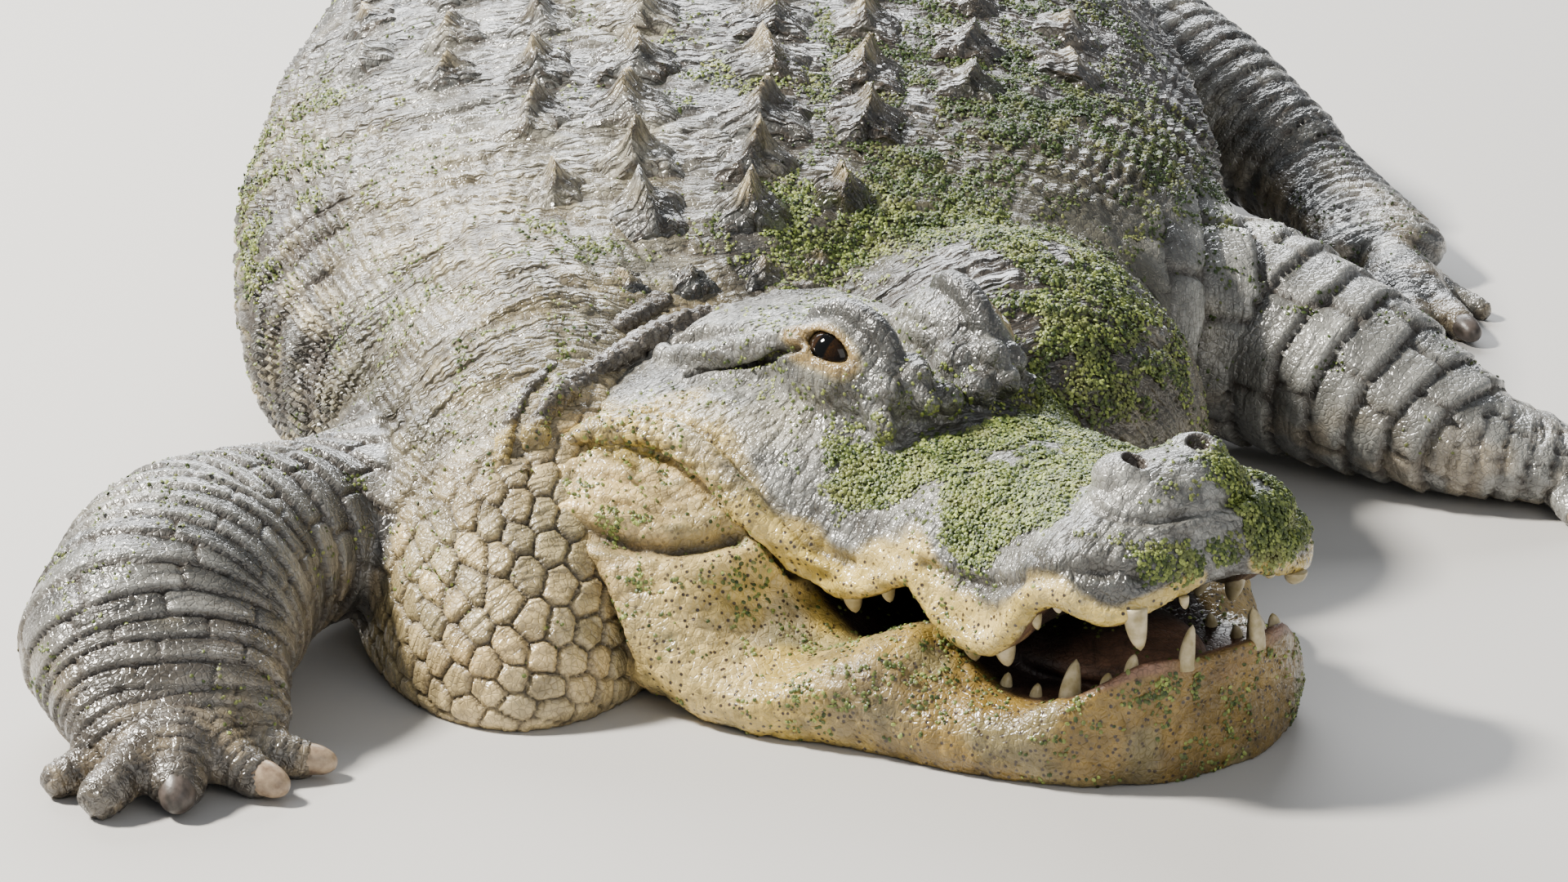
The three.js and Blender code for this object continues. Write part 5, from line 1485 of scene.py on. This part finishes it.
def plate_mesh(distance, across, length, width, keel, seed):
    """Keeled plate draped on the back: its rim sinks into the skin."""
    line = np.linspace(-1, 1, PLATE_POINTS)
    a, b = np.meshgrid(line, line, indexing="ij")
    edge = np.maximum(np.abs(a), np.abs(b))
    corner = (np.abs(a) ** 4 + np.abs(b) ** 4) ** 0.25
    shrink = np.where(corner > 0, edge / np.maximum(corner, 1e-6), 1)
    wobble = 1 + 0.05 * np.sin(3 * np.arctan2(b, a) + seed)
    u, v = a * shrink * wobble, b * shrink * wobble
    at = distance + u * length / 2
    out = across + v * width / 2
    base = back_point(at, out)
    step = 0.002
    du = back_point(at + step, out) - back_point(at - step, out)
    dv = back_point(at, out + step) - back_point(at, out - step)
    normal = unit(np.cross(dv, du))
    normal *= np.where(normal[..., 2:] < 0, -1, 1)
    inner = smooth(1.0, 0.60, edge)
    rim = smooth(1.0, 0.55, edge * (1 + 0.12 * np.sin(5 * np.arctan2(b, a) + 3 * seed)))
    ridge = np.exp(-(np.abs(v + 0.10 * np.sin(3 * u + seed)) / 0.20) ** 1.3)
    slope = np.clip(0.16 + 0.84 * smooth(-0.9, 0.40, u), 0, 1) * smooth(1.0, 0.66, u)
    height = PLATE_LIFT * rim + keel * (ridge * slope * inner + 0.20 * np.clip(1 - edge ** 2, 0, 1))
    aim = np.arctan2(v, u - 0.35)
    spokes = np.abs(np.sin(aim * 7 + seed * 5 + 1.5 * np.sin(3 * np.hypot(u, v) + seed)))
    spread = smooth(0.05, 0.4, np.hypot(u - 0.35, v))
    height += PLATE_ROUGH * (spokes - 0.6) * inner * (1 - 0.6 * ridge) * spread
    height -= PLATE_ROOT * (1 - rim)
    p = base + height[..., None] * normal
    index = np.arange(PLATE_POINTS ** 2).reshape(PLATE_POINTS, PLATE_POINTS)
    quads = np.stack([index[:-1, :-1], index[1:, :-1], index[1:, 1:], index[:-1, 1:]], -1).reshape(-1, 4)
    tone = np.clip(0.35 + 0.5 * ridge * slope + 0.25 * (spokes - 0.5), 0, 1.2)
    # Painted shade in the hollows between the radial wrinkles
    dark = np.clip(0.7 * smooth(0.3, 0.0, spokes) * inner * (1 - ridge), 0, 1)
    peak = ridge * smooth(0.55, 0.9, slope) * inner
    return p.reshape(-1, 3), quads.tolist(), dark.ravel(), tone.ravel(), peak.ravel()


def crest_mesh(distance, across, length, height, width):
    """Upright blade on the tail, sloping up to the rear."""
    rows, cols = 13, 9
    t = np.linspace(0, 1, rows)[:, None]
    turn = np.linspace(0, np.pi, cols)[None]
    _, way, left = spine_frame(np.array([distance]))
    base = back_point(np.array([distance]), np.array([across]))[0]
    rise = height * smooth(0, 0.75, t) * smooth(1.0, 0.86, t) + 0.001
    thick = width / 2 * np.sin(np.pi * np.clip(t, 0.03, 0.97)) ** 0.5
    x = np.cos(turn) * thick * (1 - 0.25 * np.sin(turn))
    z = np.sin(turn) ** 1.3 * rise
    y = (t - 0.5) * length + 0.25 * length * np.sin(turn) * t
    p = base + x[..., None] * left[0] + y[..., None] * way[0]
    p = p + (z - CREST_ROOT)[..., None] * np.array([0, 0, 1.0])
    verts, faces = loft(p)
    tone = np.clip(0.3 + 0.7 * np.sin(turn) * t, 0, 1)
    peak = np.broadcast_to(smooth(0.6, 1.0, np.sin(turn)) * smooth(0.3, 0.7, t), tone.shape)
    return verts, faces, np.zeros(len(verts)), tone.ravel(), 0.6 * peak.ravel()


def plates():
    made = []
    seed = 0
    for start, end, count in ROW_SPANS:
        step = (end - start) / count
        for row in range(count):
            s = start + (row + 0.5) * step
            half = float(column(BODY, np.array([s]), 1)[0])
            size = min(1, half / BACK_HALF_WIDTH)
            if s < TRUNK_END:
                for col in BACK_COLUMNS:
                    if not col["from"] < s < col["to"]:
                        continue
                    for side in (-1, 1):
                        seed += 1
                        shift = 0.15 * step * (JITTER[seed, 0] - 0.5)
                        made.append(plate_mesh(
                            s + shift, side * col["across"] * size, step * PLATE_COVER * col["share"],
                            col["width"] * size * PLATE_WIDTH, col["keel"] * size, seed))
            elif s < CREST_MEETS:
                share = (s - TRUNK_END) / (CREST_MEETS - TRUNK_END)
                out = half * CREST_SPREAD * (1 - 0.6 * share)
                tall = lerp(*CREST_PAIR, share)
                for side in (-1, 1):
                    made.append(crest_mesh(s, side * out, step * CREST_COVER, tall, CREST_WIDTH))
            else:
                share = (s - CREST_MEETS) / (TAIL_END - CREST_MEETS)
                tall = lerp(*CREST_SINGLE, share)
                made.append(crest_mesh(s, 0, step * CREST_COVER, tall, CREST_WIDTH * (1 - 0.5 * share)))
    for s, across, length, width, keel in NECK_PLATES:
        for side in (-1, 1):
            seed += 1
            made.append(plate_mesh(s, side * across, length, width, keel, seed))
    verts, faces = merged([m[:2] for m in made])
    piece = new_mesh("scutes", verts, faces)
    dark, tone, peak = (np.concatenate([m[k] for m in made]) for k in (2, 3, 4))
    s, across = body_coords(verts)
    weed = clumped(patches(verts), verts, 53)
    tint = layered(
        trunk_tint(verts, across, 0.35 * (tone - 0.5)),
        (CREAM, 0.75 * peak * smooth(-0.6, 0.3, noise(verts, 0.03, 42))),
        # Under thick weed the plates go dark green: weed colour darkened as painted shade between the fronds
        (WEED * 0.5, 0.6 * smooth(0.7, 1.0, weed)))
    none, full = np.zeros(len(verts)), np.ones(len(verts))
    paint(piece.data, tint=tint, groove=dark, weed=weed, dots=none, moist=full,
          flow=np.stack([s, 0.22 * across, 0.22 * verts[:, 2]], 1), stream=full)
    return piece


# Teeth, claws and eyes
def tooth_shell(root, length, thickness, down, lean):
    t = np.linspace(0, 1, 12)
    turn = circle(14)[None]
    width = thickness / 2 * np.clip(1 - t ** 2.4, 0.004, 1)[:, None] ** 0.62
    z = down * (t * 1.5 - 0.5)[:, None] * length
    bend = (t ** 2)[:, None, None] * lean * length * 0.25
    p = root + width[..., None] * (np.cos(turn)[..., None] * FORWARD + np.sin(turn)[..., None] * LEFT)
    p = p + z[..., None] * np.array([0, 0, 1.0]) + bend
    return loft(p)


def teeth():
    made = []
    for side in (-1, 1):
        for f, length, thick in UPPER_TEETH:
            half, lip = (float(column(SKULL, np.array([f]), k)[0]) for k in (1, 2))
            length *= FRONT_TOOTH_SHOWN if side > 0 and f < FRONT_TEETH_END else TOOTH_SHOWN
            root = head_point(np.array(f), np.array(side * half * (1 - TOOTH_INSET)), np.array(lip))
            made.append(tooth_shell(root, length, thick, -1, -LEFT * side))
        for f, length, thick in LOWER_TEETH:
            half, lip = (float(column(JAW, np.array([f]), k)[0]) for k in (1, 2))
            root = jaw_point(np.array(f), np.array(side * half * (1 - TOOTH_INSET)), np.array(lip))
            made.append(tooth_shell(root, length, thick, 1, -LEFT * side))
    return new_mesh("teeth", *merged(made))


def eyeball(side):
    """Ball whose pole looks out of the head, with a slightly bulging cornea."""
    centre, gaze, along, up = eye_frame(side)
    turn = circle(64)
    tilt = np.linspace(0.01, np.pi - 0.01, 60)[:, None]
    reach = EYE_RADIUS * (0.985 + 0.02 * np.exp(-(tilt / 0.50) ** 4))
    ways = [np.cos(tilt), np.sin(tilt) * np.cos(turn), np.sin(tilt) * np.sin(turn)]
    place = centre + sum((reach * way)[..., None] * axis for way, axis in zip(ways, (gaze, along, up)))
    piece = new_mesh("eyeball_right" if side < 0 else "eyeball_left",
                     *loft(head_point(place[..., 0], place[..., 1], place[..., 2])))
    paint(piece.data, ring=np.broadcast_to(tilt, ways[1].shape).ravel(), slit=np.abs(ways[1]).ravel())
    return piece


# Duckweed
FROND_SIDES = 6
FROND_RADIUS = (0.0008, 0.0015)
FROND_LONGER = (1.0, 1.4)
FROND_LEAN = 0.7
FROND_PILE = 0.0030
FROND_RIM = 0.0003
FROND_DOME = (0.0009, 0.25)
FROND_FLOOR = 0.0002
HEAD_FRONDS = 30000
BODY_FRONDS = 30000
BACK_FRONDS = 6000


def map_along(length, full):
    return 0.05 + 0.9 * np.clip(length / full, 0, 1)


def map_round(start, angle):
    return start + 0.2 * (1 + angle / np.pi)


def weed_coat(name, mesh, count, seed):
    """Floating fronds stuck to the skin, as little domed discs."""
    pick = np.random.default_rng(seed)
    mesh.calc_loop_triangles()
    tri = read(mesh.loop_triangles, "vertices", 3, np.int32)
    p = points_of(mesh)
    thick = read(mesh.attributes["weed"].data, "value")[tri].mean(1)
    a, b, c = p[tri[:, 0]], p[tri[:, 1]], p[tri[:, 2]]
    weight = np.linalg.norm(np.cross(b - a, c - a), axis=1) * thick
    chosen = pick.choice(len(tri), count, p=weight / weight.sum())
    r1, r2 = np.sqrt(pick.random(count)), pick.random(count)
    root = (a[chosen] * (1 - r1)[:, None] + b[chosen] * (r1 * (1 - r2))[:, None]
            + c[chosen] * (r1 * r2)[:, None])
    normal = unit(np.cross(b - a, c - a)[chosen])
    normal = unit(normal + FROND_LEAN * (pick.random((count, 3)) - 0.5))
    root = root + normal * (FROND_PILE * thick[chosen] * pick.random(count) ** 2)[:, None]
    size = pick.uniform(*FROND_RADIUS, count)
    side = unit(np.cross(normal, pick.random((count, 3)) - 0.5))
    other = np.cross(normal, side)
    around = circle(FROND_SIDES)
    longer = pick.uniform(*FROND_LONGER, count)
    ring = (root[:, None] + (size * longer)[:, None, None] * np.cos(around)[:, None] * side[:, None]
            + size[:, None, None] * np.sin(around)[:, None] * other[:, None]
            + (FROND_RIM * normal)[:, None])
    top = root + normal * (FROND_DOME[0] + FROND_DOME[1] * size)[:, None]
    verts = np.concatenate([ring, top[:, None]], 1).reshape(-1, 3)
    verts[:, 2] = np.maximum(verts[:, 2], FROND_FLOOR)
    base = (FROND_SIDES + 1) * np.arange(count)[:, None]
    k = np.arange(FROND_SIDES)
    corners = np.broadcast_arrays(base + k, base + (k + 1) % FROND_SIDES, base + FROND_SIDES)
    faces = np.stack(corners, -1).reshape(-1, 3)
    piece = new_mesh(name, verts, faces)
    f, l, h = head_coords(root)
    s, across = body_coords(root)
    shaded = smooth(0.0, 0.11, across) * smooth(0.10, 0.22, root[:, 1])
    clump = smooth(-0.35, 0.45, ragged(root, 0.009, seed, 0.5, 0.004, seed + 1))
    tone = pick.random(count) ** 1.2 * (0.30 + 0.70 * clump) * (1 - 0.85 * shaded)
    near_head = (f < 0.46) & (f > -0.01) & (np.abs(l) < 0.2)
    u = np.where(near_head, map_along(f, 0.5), map_along(s, 2.7))
    v = np.where(near_head, map_round(0.05, np.arctan2(l, h + 0.05)),
                 map_round(0.55, np.arctan2(across, root[:, 2] - 0.1)))
    uv = np.repeat(np.stack([u, v], 1), FROND_SIDES + 1, 0).reshape(count, FROND_SIDES + 1, 2)
    uv[:, :-1] += 0.0015 * np.stack([np.cos(around), np.sin(around)], 1)
    layer = piece.data.uv_layers.new(name="OFBake")
    layer.data.foreach_set("uv", uv.reshape(-1, 2)[faces.ravel()].astype(np.float32).ravel())
    paint(piece.data, tone=np.repeat(tone, FROND_SIDES + 1))
    return piece


# Materials: lumps per metre of the patterns in the skin, then tints
CRACKS = 260
LEATHER = 520
CLOUDS = 30
GRAIN = 150
WAVES = 165
SWELLS = 62
SPECKS = 215
SPECK_TINT = (0.045, 0.028, 0.016)
IVORY = ((0.66, 0.57, 0.37), (0.36, 0.29, 0.14))
HORN = ((0.44, 0.33, 0.22), (0.18, 0.12, 0.08))
DARK_HORN = ((0.10, 0.08, 0.07), (0.03, 0.025, 0.02))
IRIS = ((0.032, 0.014, 0.004), (0.010, 0.005, 0.002))
IRIS_RIM = (0.008, 0.005, 0.003)
PUPIL = (0.002, 0.002, 0.002)
LEAF = ((0.022, 0.045, 0.006), (0.40, 0.48, 0.11))
YELLOW_LEAF = (0.36, 0.35, 0.13)
FLOOR = (0.50, 0.49, 0.475, 1)


class Nodes:
    """Short hand for a material's node tree."""

    def __init__(self, name):
        self.material = bpy.data.materials.new(name)
        self.material.use_nodes = True
        self.tree = self.material.node_tree
        self.shader = self.tree.nodes["Principled BSDF"]
        self.object = self.add("ShaderNodeTexCoord").outputs["Object"]

    def add(self, kind, inputs=None, **settings):
        node = self.tree.nodes.new(kind)
        for key, value in settings.items():
            setattr(node, key, value)
        for key, value in (inputs or {}).items():
            self.put(node.inputs[key], value)
        return node

    def put(self, socket, value):
        if isinstance(value, bpy.types.NodeSocket):
            self.tree.links.new(value, socket)
        else:
            socket.default_value = value

    def noise(self, scale, detail=4, rough=0.55, where=None):
        return self.add("ShaderNodeTexNoise", {
            "Vector": self.object if where is None else where, "Scale": scale, "Detail": detail,
            "Roughness": rough}).outputs[0]

    def cells(self, scale, randomness=1.0, feature="DISTANCE_TO_EDGE"):
        return self.add("ShaderNodeTexVoronoi", {
            "Vector": self.object, "Scale": scale, "Randomness": randomness},
            feature=feature).outputs["Distance"]

    def value(self, name):
        return self.add("ShaderNodeAttribute", attribute_name=name).outputs["Fac"]

    def colour(self, name):
        return self.add("ShaderNodeAttribute", attribute_name=name).outputs["Color"]

    def fit(self, value, low, high, out_low=0.0, out_high=1.0):
        return self.add("ShaderNodeMapRange", {
            "Value": value, "From Min": low, "From Max": high, "To Min": out_low,
            "To Max": out_high}).outputs[0]

    def math(self, operation, a, b=0.0, clamp=False):
        node = self.add("ShaderNodeMath", operation=operation, use_clamp=clamp)
        self.put(node.inputs[0], a)
        self.put(node.inputs[1], b)
        return node.outputs[0]

    def times(self, a, b, clamp=False):
        return self.math("MULTIPLY", a, b, clamp)

    def ridge(self, value):
        """Distance of a pattern from its middle."""
        return self.math("ABSOLUTE", self.math("SUBTRACT", value, 0.5))

    def mix(self, weight, a, b, blend="MIX"):
        node = self.add("ShaderNodeMix", data_type="RGBA", blend_type=blend)
        self.put(node.inputs[0], weight)
        for socket, value in ((node.inputs[6], a), (node.inputs[7], b)):
            self.put(socket, (*value, 1) if isinstance(value, (tuple, list, np.ndarray)) else value)
        return node.outputs[2]

    def shade(self, colour, value):
        """A colour times a brightness."""
        grey = self.add("ShaderNodeCombineColor", {0: value, 1: value, 2: value}).outputs[0]
        return self.mix(1.0, colour, grey, "MULTIPLY")

    def bump(self, height, strength, distance, normal=None):
        inputs = {"Height": height, "Strength": strength, "Distance": distance}
        if normal is not None:
            inputs["Normal"] = normal
        return self.add("ShaderNodeBump", inputs).outputs[0]

    def set(self, **inputs):
        for key, value in inputs.items():
            self.put(self.shader.inputs[key.replace("_", " ")], value)


def skin_material():
    n = Nodes("skin")
    groove, spots, moist, stream = (n.value(name) for name in ("groove", "dots", "moist", "stream"))
    flow = n.colour("flow")
    crack = n.cells(CRACKS)
    leather = n.noise(LEATHER, 2, 0.5)
    cloud = n.noise(CLOUDS, 6, 0.62)
    grain = n.noise(GRAIN, 4, 0.6)
    wave = n.ridge(n.noise(WAVES, 2, 0.5, flow))
    swell = n.ridge(n.noise(SWELLS, 1, 0.5, flow))
    # Painted shade in the valleys of the flowing wrinkles
    valley_shade = n.math("MAXIMUM", n.fit(wave, 0.0, 0.045, 0.72, 0.0), n.fit(swell, 0.0, 0.030, 0.80, 0.0))
    colour = n.shade(n.colour("tint"), n.fit(cloud, 0.32, 0.68, 0.60, 1.45))
    colour = n.shade(colour, n.fit(grain, 0.33, 0.67, 0.80, 1.20))
    # Painted highlight on the crests of the wrinkles
    crest_highlight = n.times(n.fit(wave, 0.05, 0.17), stream)
    colour = n.shade(colour, n.fit(crest_highlight, 0.0, 1.0, 0.92, 1.30))
    colour = n.mix(n.times(valley_shade, stream), colour, SEAM_AND_SHADE * 1.5)
    # Grooves and fine cracks go near black: dark seams, and painted shade in folds, creases and hollows
    colour = n.mix(n.times(groove, 0.92, clamp=True), colour, SEAM_AND_SHADE)
    lines = n.times(n.fit(crack, 0.0, 0.09, 0.4, 0.0), n.math("SUBTRACT", 1.0, spots))
    colour = n.mix(lines, colour, SEAM_AND_SHADE)
    speck = n.fit(n.cells(SPECKS, 0.9, "F1"), 0.30, 0.20, 0.0, 1.0)
    speck = n.times(speck, n.fit(n.noise(60), 0.24, 0.36))
    colour = n.mix(n.times(speck, spots), colour, SPECK_TINT)
    rough = n.math("ADD", n.fit(n.noise(24, 4), 0.35, 0.65, 0.24, 0.42), n.times(groove, 0.30))
    rough = n.math("ADD", rough, n.fit(moist, 0.0, 1.0, 0.16, 0.0))
    wet = n.times(n.fit(moist, 0.4, 1.0, 0.0, 0.9), n.fit(cloud, 0.36, 0.56, 0.35, 1.0))
    height = n.math("ADD", n.fit(crack, 0.0, 0.16, 0.0, 0.6), n.times(leather, 0.25))
    height = n.math("ADD", height, n.times(grain, 0.5))
    fine = n.bump(height, 0.5, 0.0010)
    ripple = n.math("ADD", n.fit(wave, 0.0, 0.15), n.times(n.fit(swell, 0.0, 0.10), 1.6))
    wavy = n.bump(n.times(ripple, stream), 0.85, 0.0028, fine)
    n.set(Base_Color=colour, Roughness=rough, Normal=wavy, Specular_IOR_Level=0.6,
          Coat_Weight=wet, Coat_Roughness=0.18, Coat_Normal=wavy)
    return n.material


def tooth_material():
    n = Nodes("ivory")
    stain = n.fit(n.noise(120, 3), 0.35, 0.65)
    n.set(Base_Color=n.mix(stain, *IVORY), Roughness=0.32, Normal=n.bump(n.noise(600), 0.2, 0.0005))
    return n.material


def claw_material(name, pale, dark):
    n = Nodes(name)
    streak = n.fit(n.noise(160, 3), 0.35, 0.7)
    n.set(Base_Color=n.mix(streak, pale, dark), Roughness=0.38,
          Normal=n.bump(n.noise(420), 0.3, 0.0006))
    return n.material


def eye_material():
    n = Nodes("iris")
    ring = n.value("ring")
    iris = n.mix(n.fit(n.noise(900, 2), 0.3, 0.7), *IRIS)
    iris = n.mix(n.fit(ring, 0.30, 0.66), iris, IRIS_RIM)
    pupil = n.times(n.fit(n.value("slit"), 0.20, 0.26, 1.0, 0.0), n.fit(ring, 0.52, 0.58, 1.0, 0.0))
    n.set(Base_Color=n.mix(pupil, iris, PUPIL), Roughness=0.05, Specular_IOR_Level=0.30,
          Normal=n.bump(n.noise(300), 0.02, 0.0002))
    return n.material


def weed_material():
    n = Nodes("duckweed")
    leaf = n.mix(n.value("tone"), *LEAF)
    leaf = n.mix(n.fit(n.noise(45), 0.5, 0.7, 0, 0.45), leaf, YELLOW_LEAF)
    n.set(Base_Color=leaf, Roughness=0.45, Normal=n.bump(n.noise(900), 0.25, 0.0004))
    return n.material


def floor_material():
    n = Nodes("floor")
    n.set(Base_Color=FLOOR, Roughness=0.8)
    return n.material


# Build
skin_look = skin_material()
head_mesh = head_skin()
body_mesh = body_skin()
skin = bpy.data.objects.new("skin", body_mesh)
front = bpy.data.objects.new("skin_head", head_mesh)
scutes = plates()
weeds = [
    weed_coat("duckweed_head", head_mesh, HEAD_FRONDS, 5),
    weed_coat("duckweed_head_upper", head_mesh, HEAD_FRONDS, 8),
    weed_coat("duckweed_body", body_mesh, BODY_FRONDS, 6),
    weed_coat("duckweed_back", scutes.data, BACK_FRONDS, 7),
]
for made in (skin, front):
    bpy.context.scene.collection.objects.link(made)
with bpy.context.temp_override(active_object=skin, selected_editable_objects=[skin, front]):
    bpy.ops.object.join()
skin.data.shade_smooth()
skin.data.materials.clear()
skin.data.materials.append(skin_look)
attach(skin, "root")
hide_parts(*FLESH)

scutes.data.materials.append(skin_look)
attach(scutes, "root")

ivory = teeth()
ivory.data.materials.append(tooth_material())
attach(ivory, "root")

horn = claw_material("horn", *HORN)
dark_horn = claw_material("horn_dark", *DARK_HORN)
for limb_name, lengths in LIMBS.items():
    for toe_row in TOES[limb_name]:
        if toe_row[3]:
            claw_points, claw_faces = claw_shell(lengths[-1], toe_row)
            claw_points[:, 2] = np.maximum(claw_points[:, 2], 0.0)
            claw = new_mesh(toe_row[3] + "_fine", claw_points, claw_faces)
            claw.data.materials.append(dark_horn if toe_row[3].endswith("3") else horn)
            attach(claw, "root")
            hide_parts(toe_row[3])

iris_look = eye_material()
for eye_side, node in ((-1, "eye_right"), (1, "eye_left")):
    ball_piece = eyeball(eye_side)
    ball_piece.data.materials.append(iris_look)
    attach(ball_piece, "root")
    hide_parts(node)

weed_look = weed_material()
for coat in weeds:
    coat.data.materials.append(weed_look)
    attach(coat, "root")

# Floor, light and camera
FLOOR_HALF = 9
AIR = (0.86, 0.92, 1.0, 1)
AIR_STRENGTH = 0.34

# Lights: name, place, point aimed at, size, power, colour
LIGHTS = [
    ("key", (-2.9, 0.0, 3.3), (0.0, -0.3, 0.1), (0.6, 0.6), 700, (1.0, 0.95, 0.86)),
    ("sky", (-0.8, 4.6, 2.9), (0.0, 0.0, 0.1), (5.0, 2.4), 560, (0.96, 0.98, 1.0)),
    ("fill", (1.6, -3.6, 2.0), (0.05, -0.5, 0.1), (2.5, 2.0), 34, (1.0, 0.96, 0.90)),
]

floor_corners = [(FLOOR_HALF * x, FLOOR_HALF * y, 0) for x, y in ((-1, -1), (1, -1), (1, 1), (-1, 1))]
ground = new_mesh("ground", floor_corners, [[0, 1, 2, 3]])
ground.data.materials.append(floor_material())

world = bpy.data.worlds.new("studio")
bpy.context.scene.world = world
world.use_nodes = True
world.node_tree.nodes["Background"].inputs[0].default_value = AIR
world.node_tree.nodes["Background"].inputs[1].default_value = AIR_STRENGTH


def soft_light(name, place, aim, size, power, colour):
    lamp = bpy.data.lights.new(name, "AREA")
    lamp.shape = "RECTANGLE"
    lamp.size, lamp.size_y = size
    lamp.energy = power
    lamp.color = colour
    made = bpy.data.objects.new(name, lamp)
    made.location = place
    made.rotation_euler = (Vector(aim) - Vector(place)).to_track_quat("-Z", "Y").to_euler()
    bpy.context.scene.collection.objects.link(made)


for light in LIGHTS:
    soft_light(*light)

lens = bpy.data.cameras.new("view")
lens.angle = CAMERA_VIEW
lens.clip_start = 0.05
view = bpy.data.objects.new("view", lens)
back_way = Vector((0, -math.cos(CAMERA_ELEVATION), math.sin(CAMERA_ELEVATION)))
view.location = CAMERA_TARGET + back_way * CAMERA_DISTANCE
view.rotation_euler = (math.pi / 2 - CAMERA_ELEVATION, 0, 0)
bpy.context.scene.collection.objects.link(view)
bpy.context.scene.camera = view

bpy.context.view_layer.update()
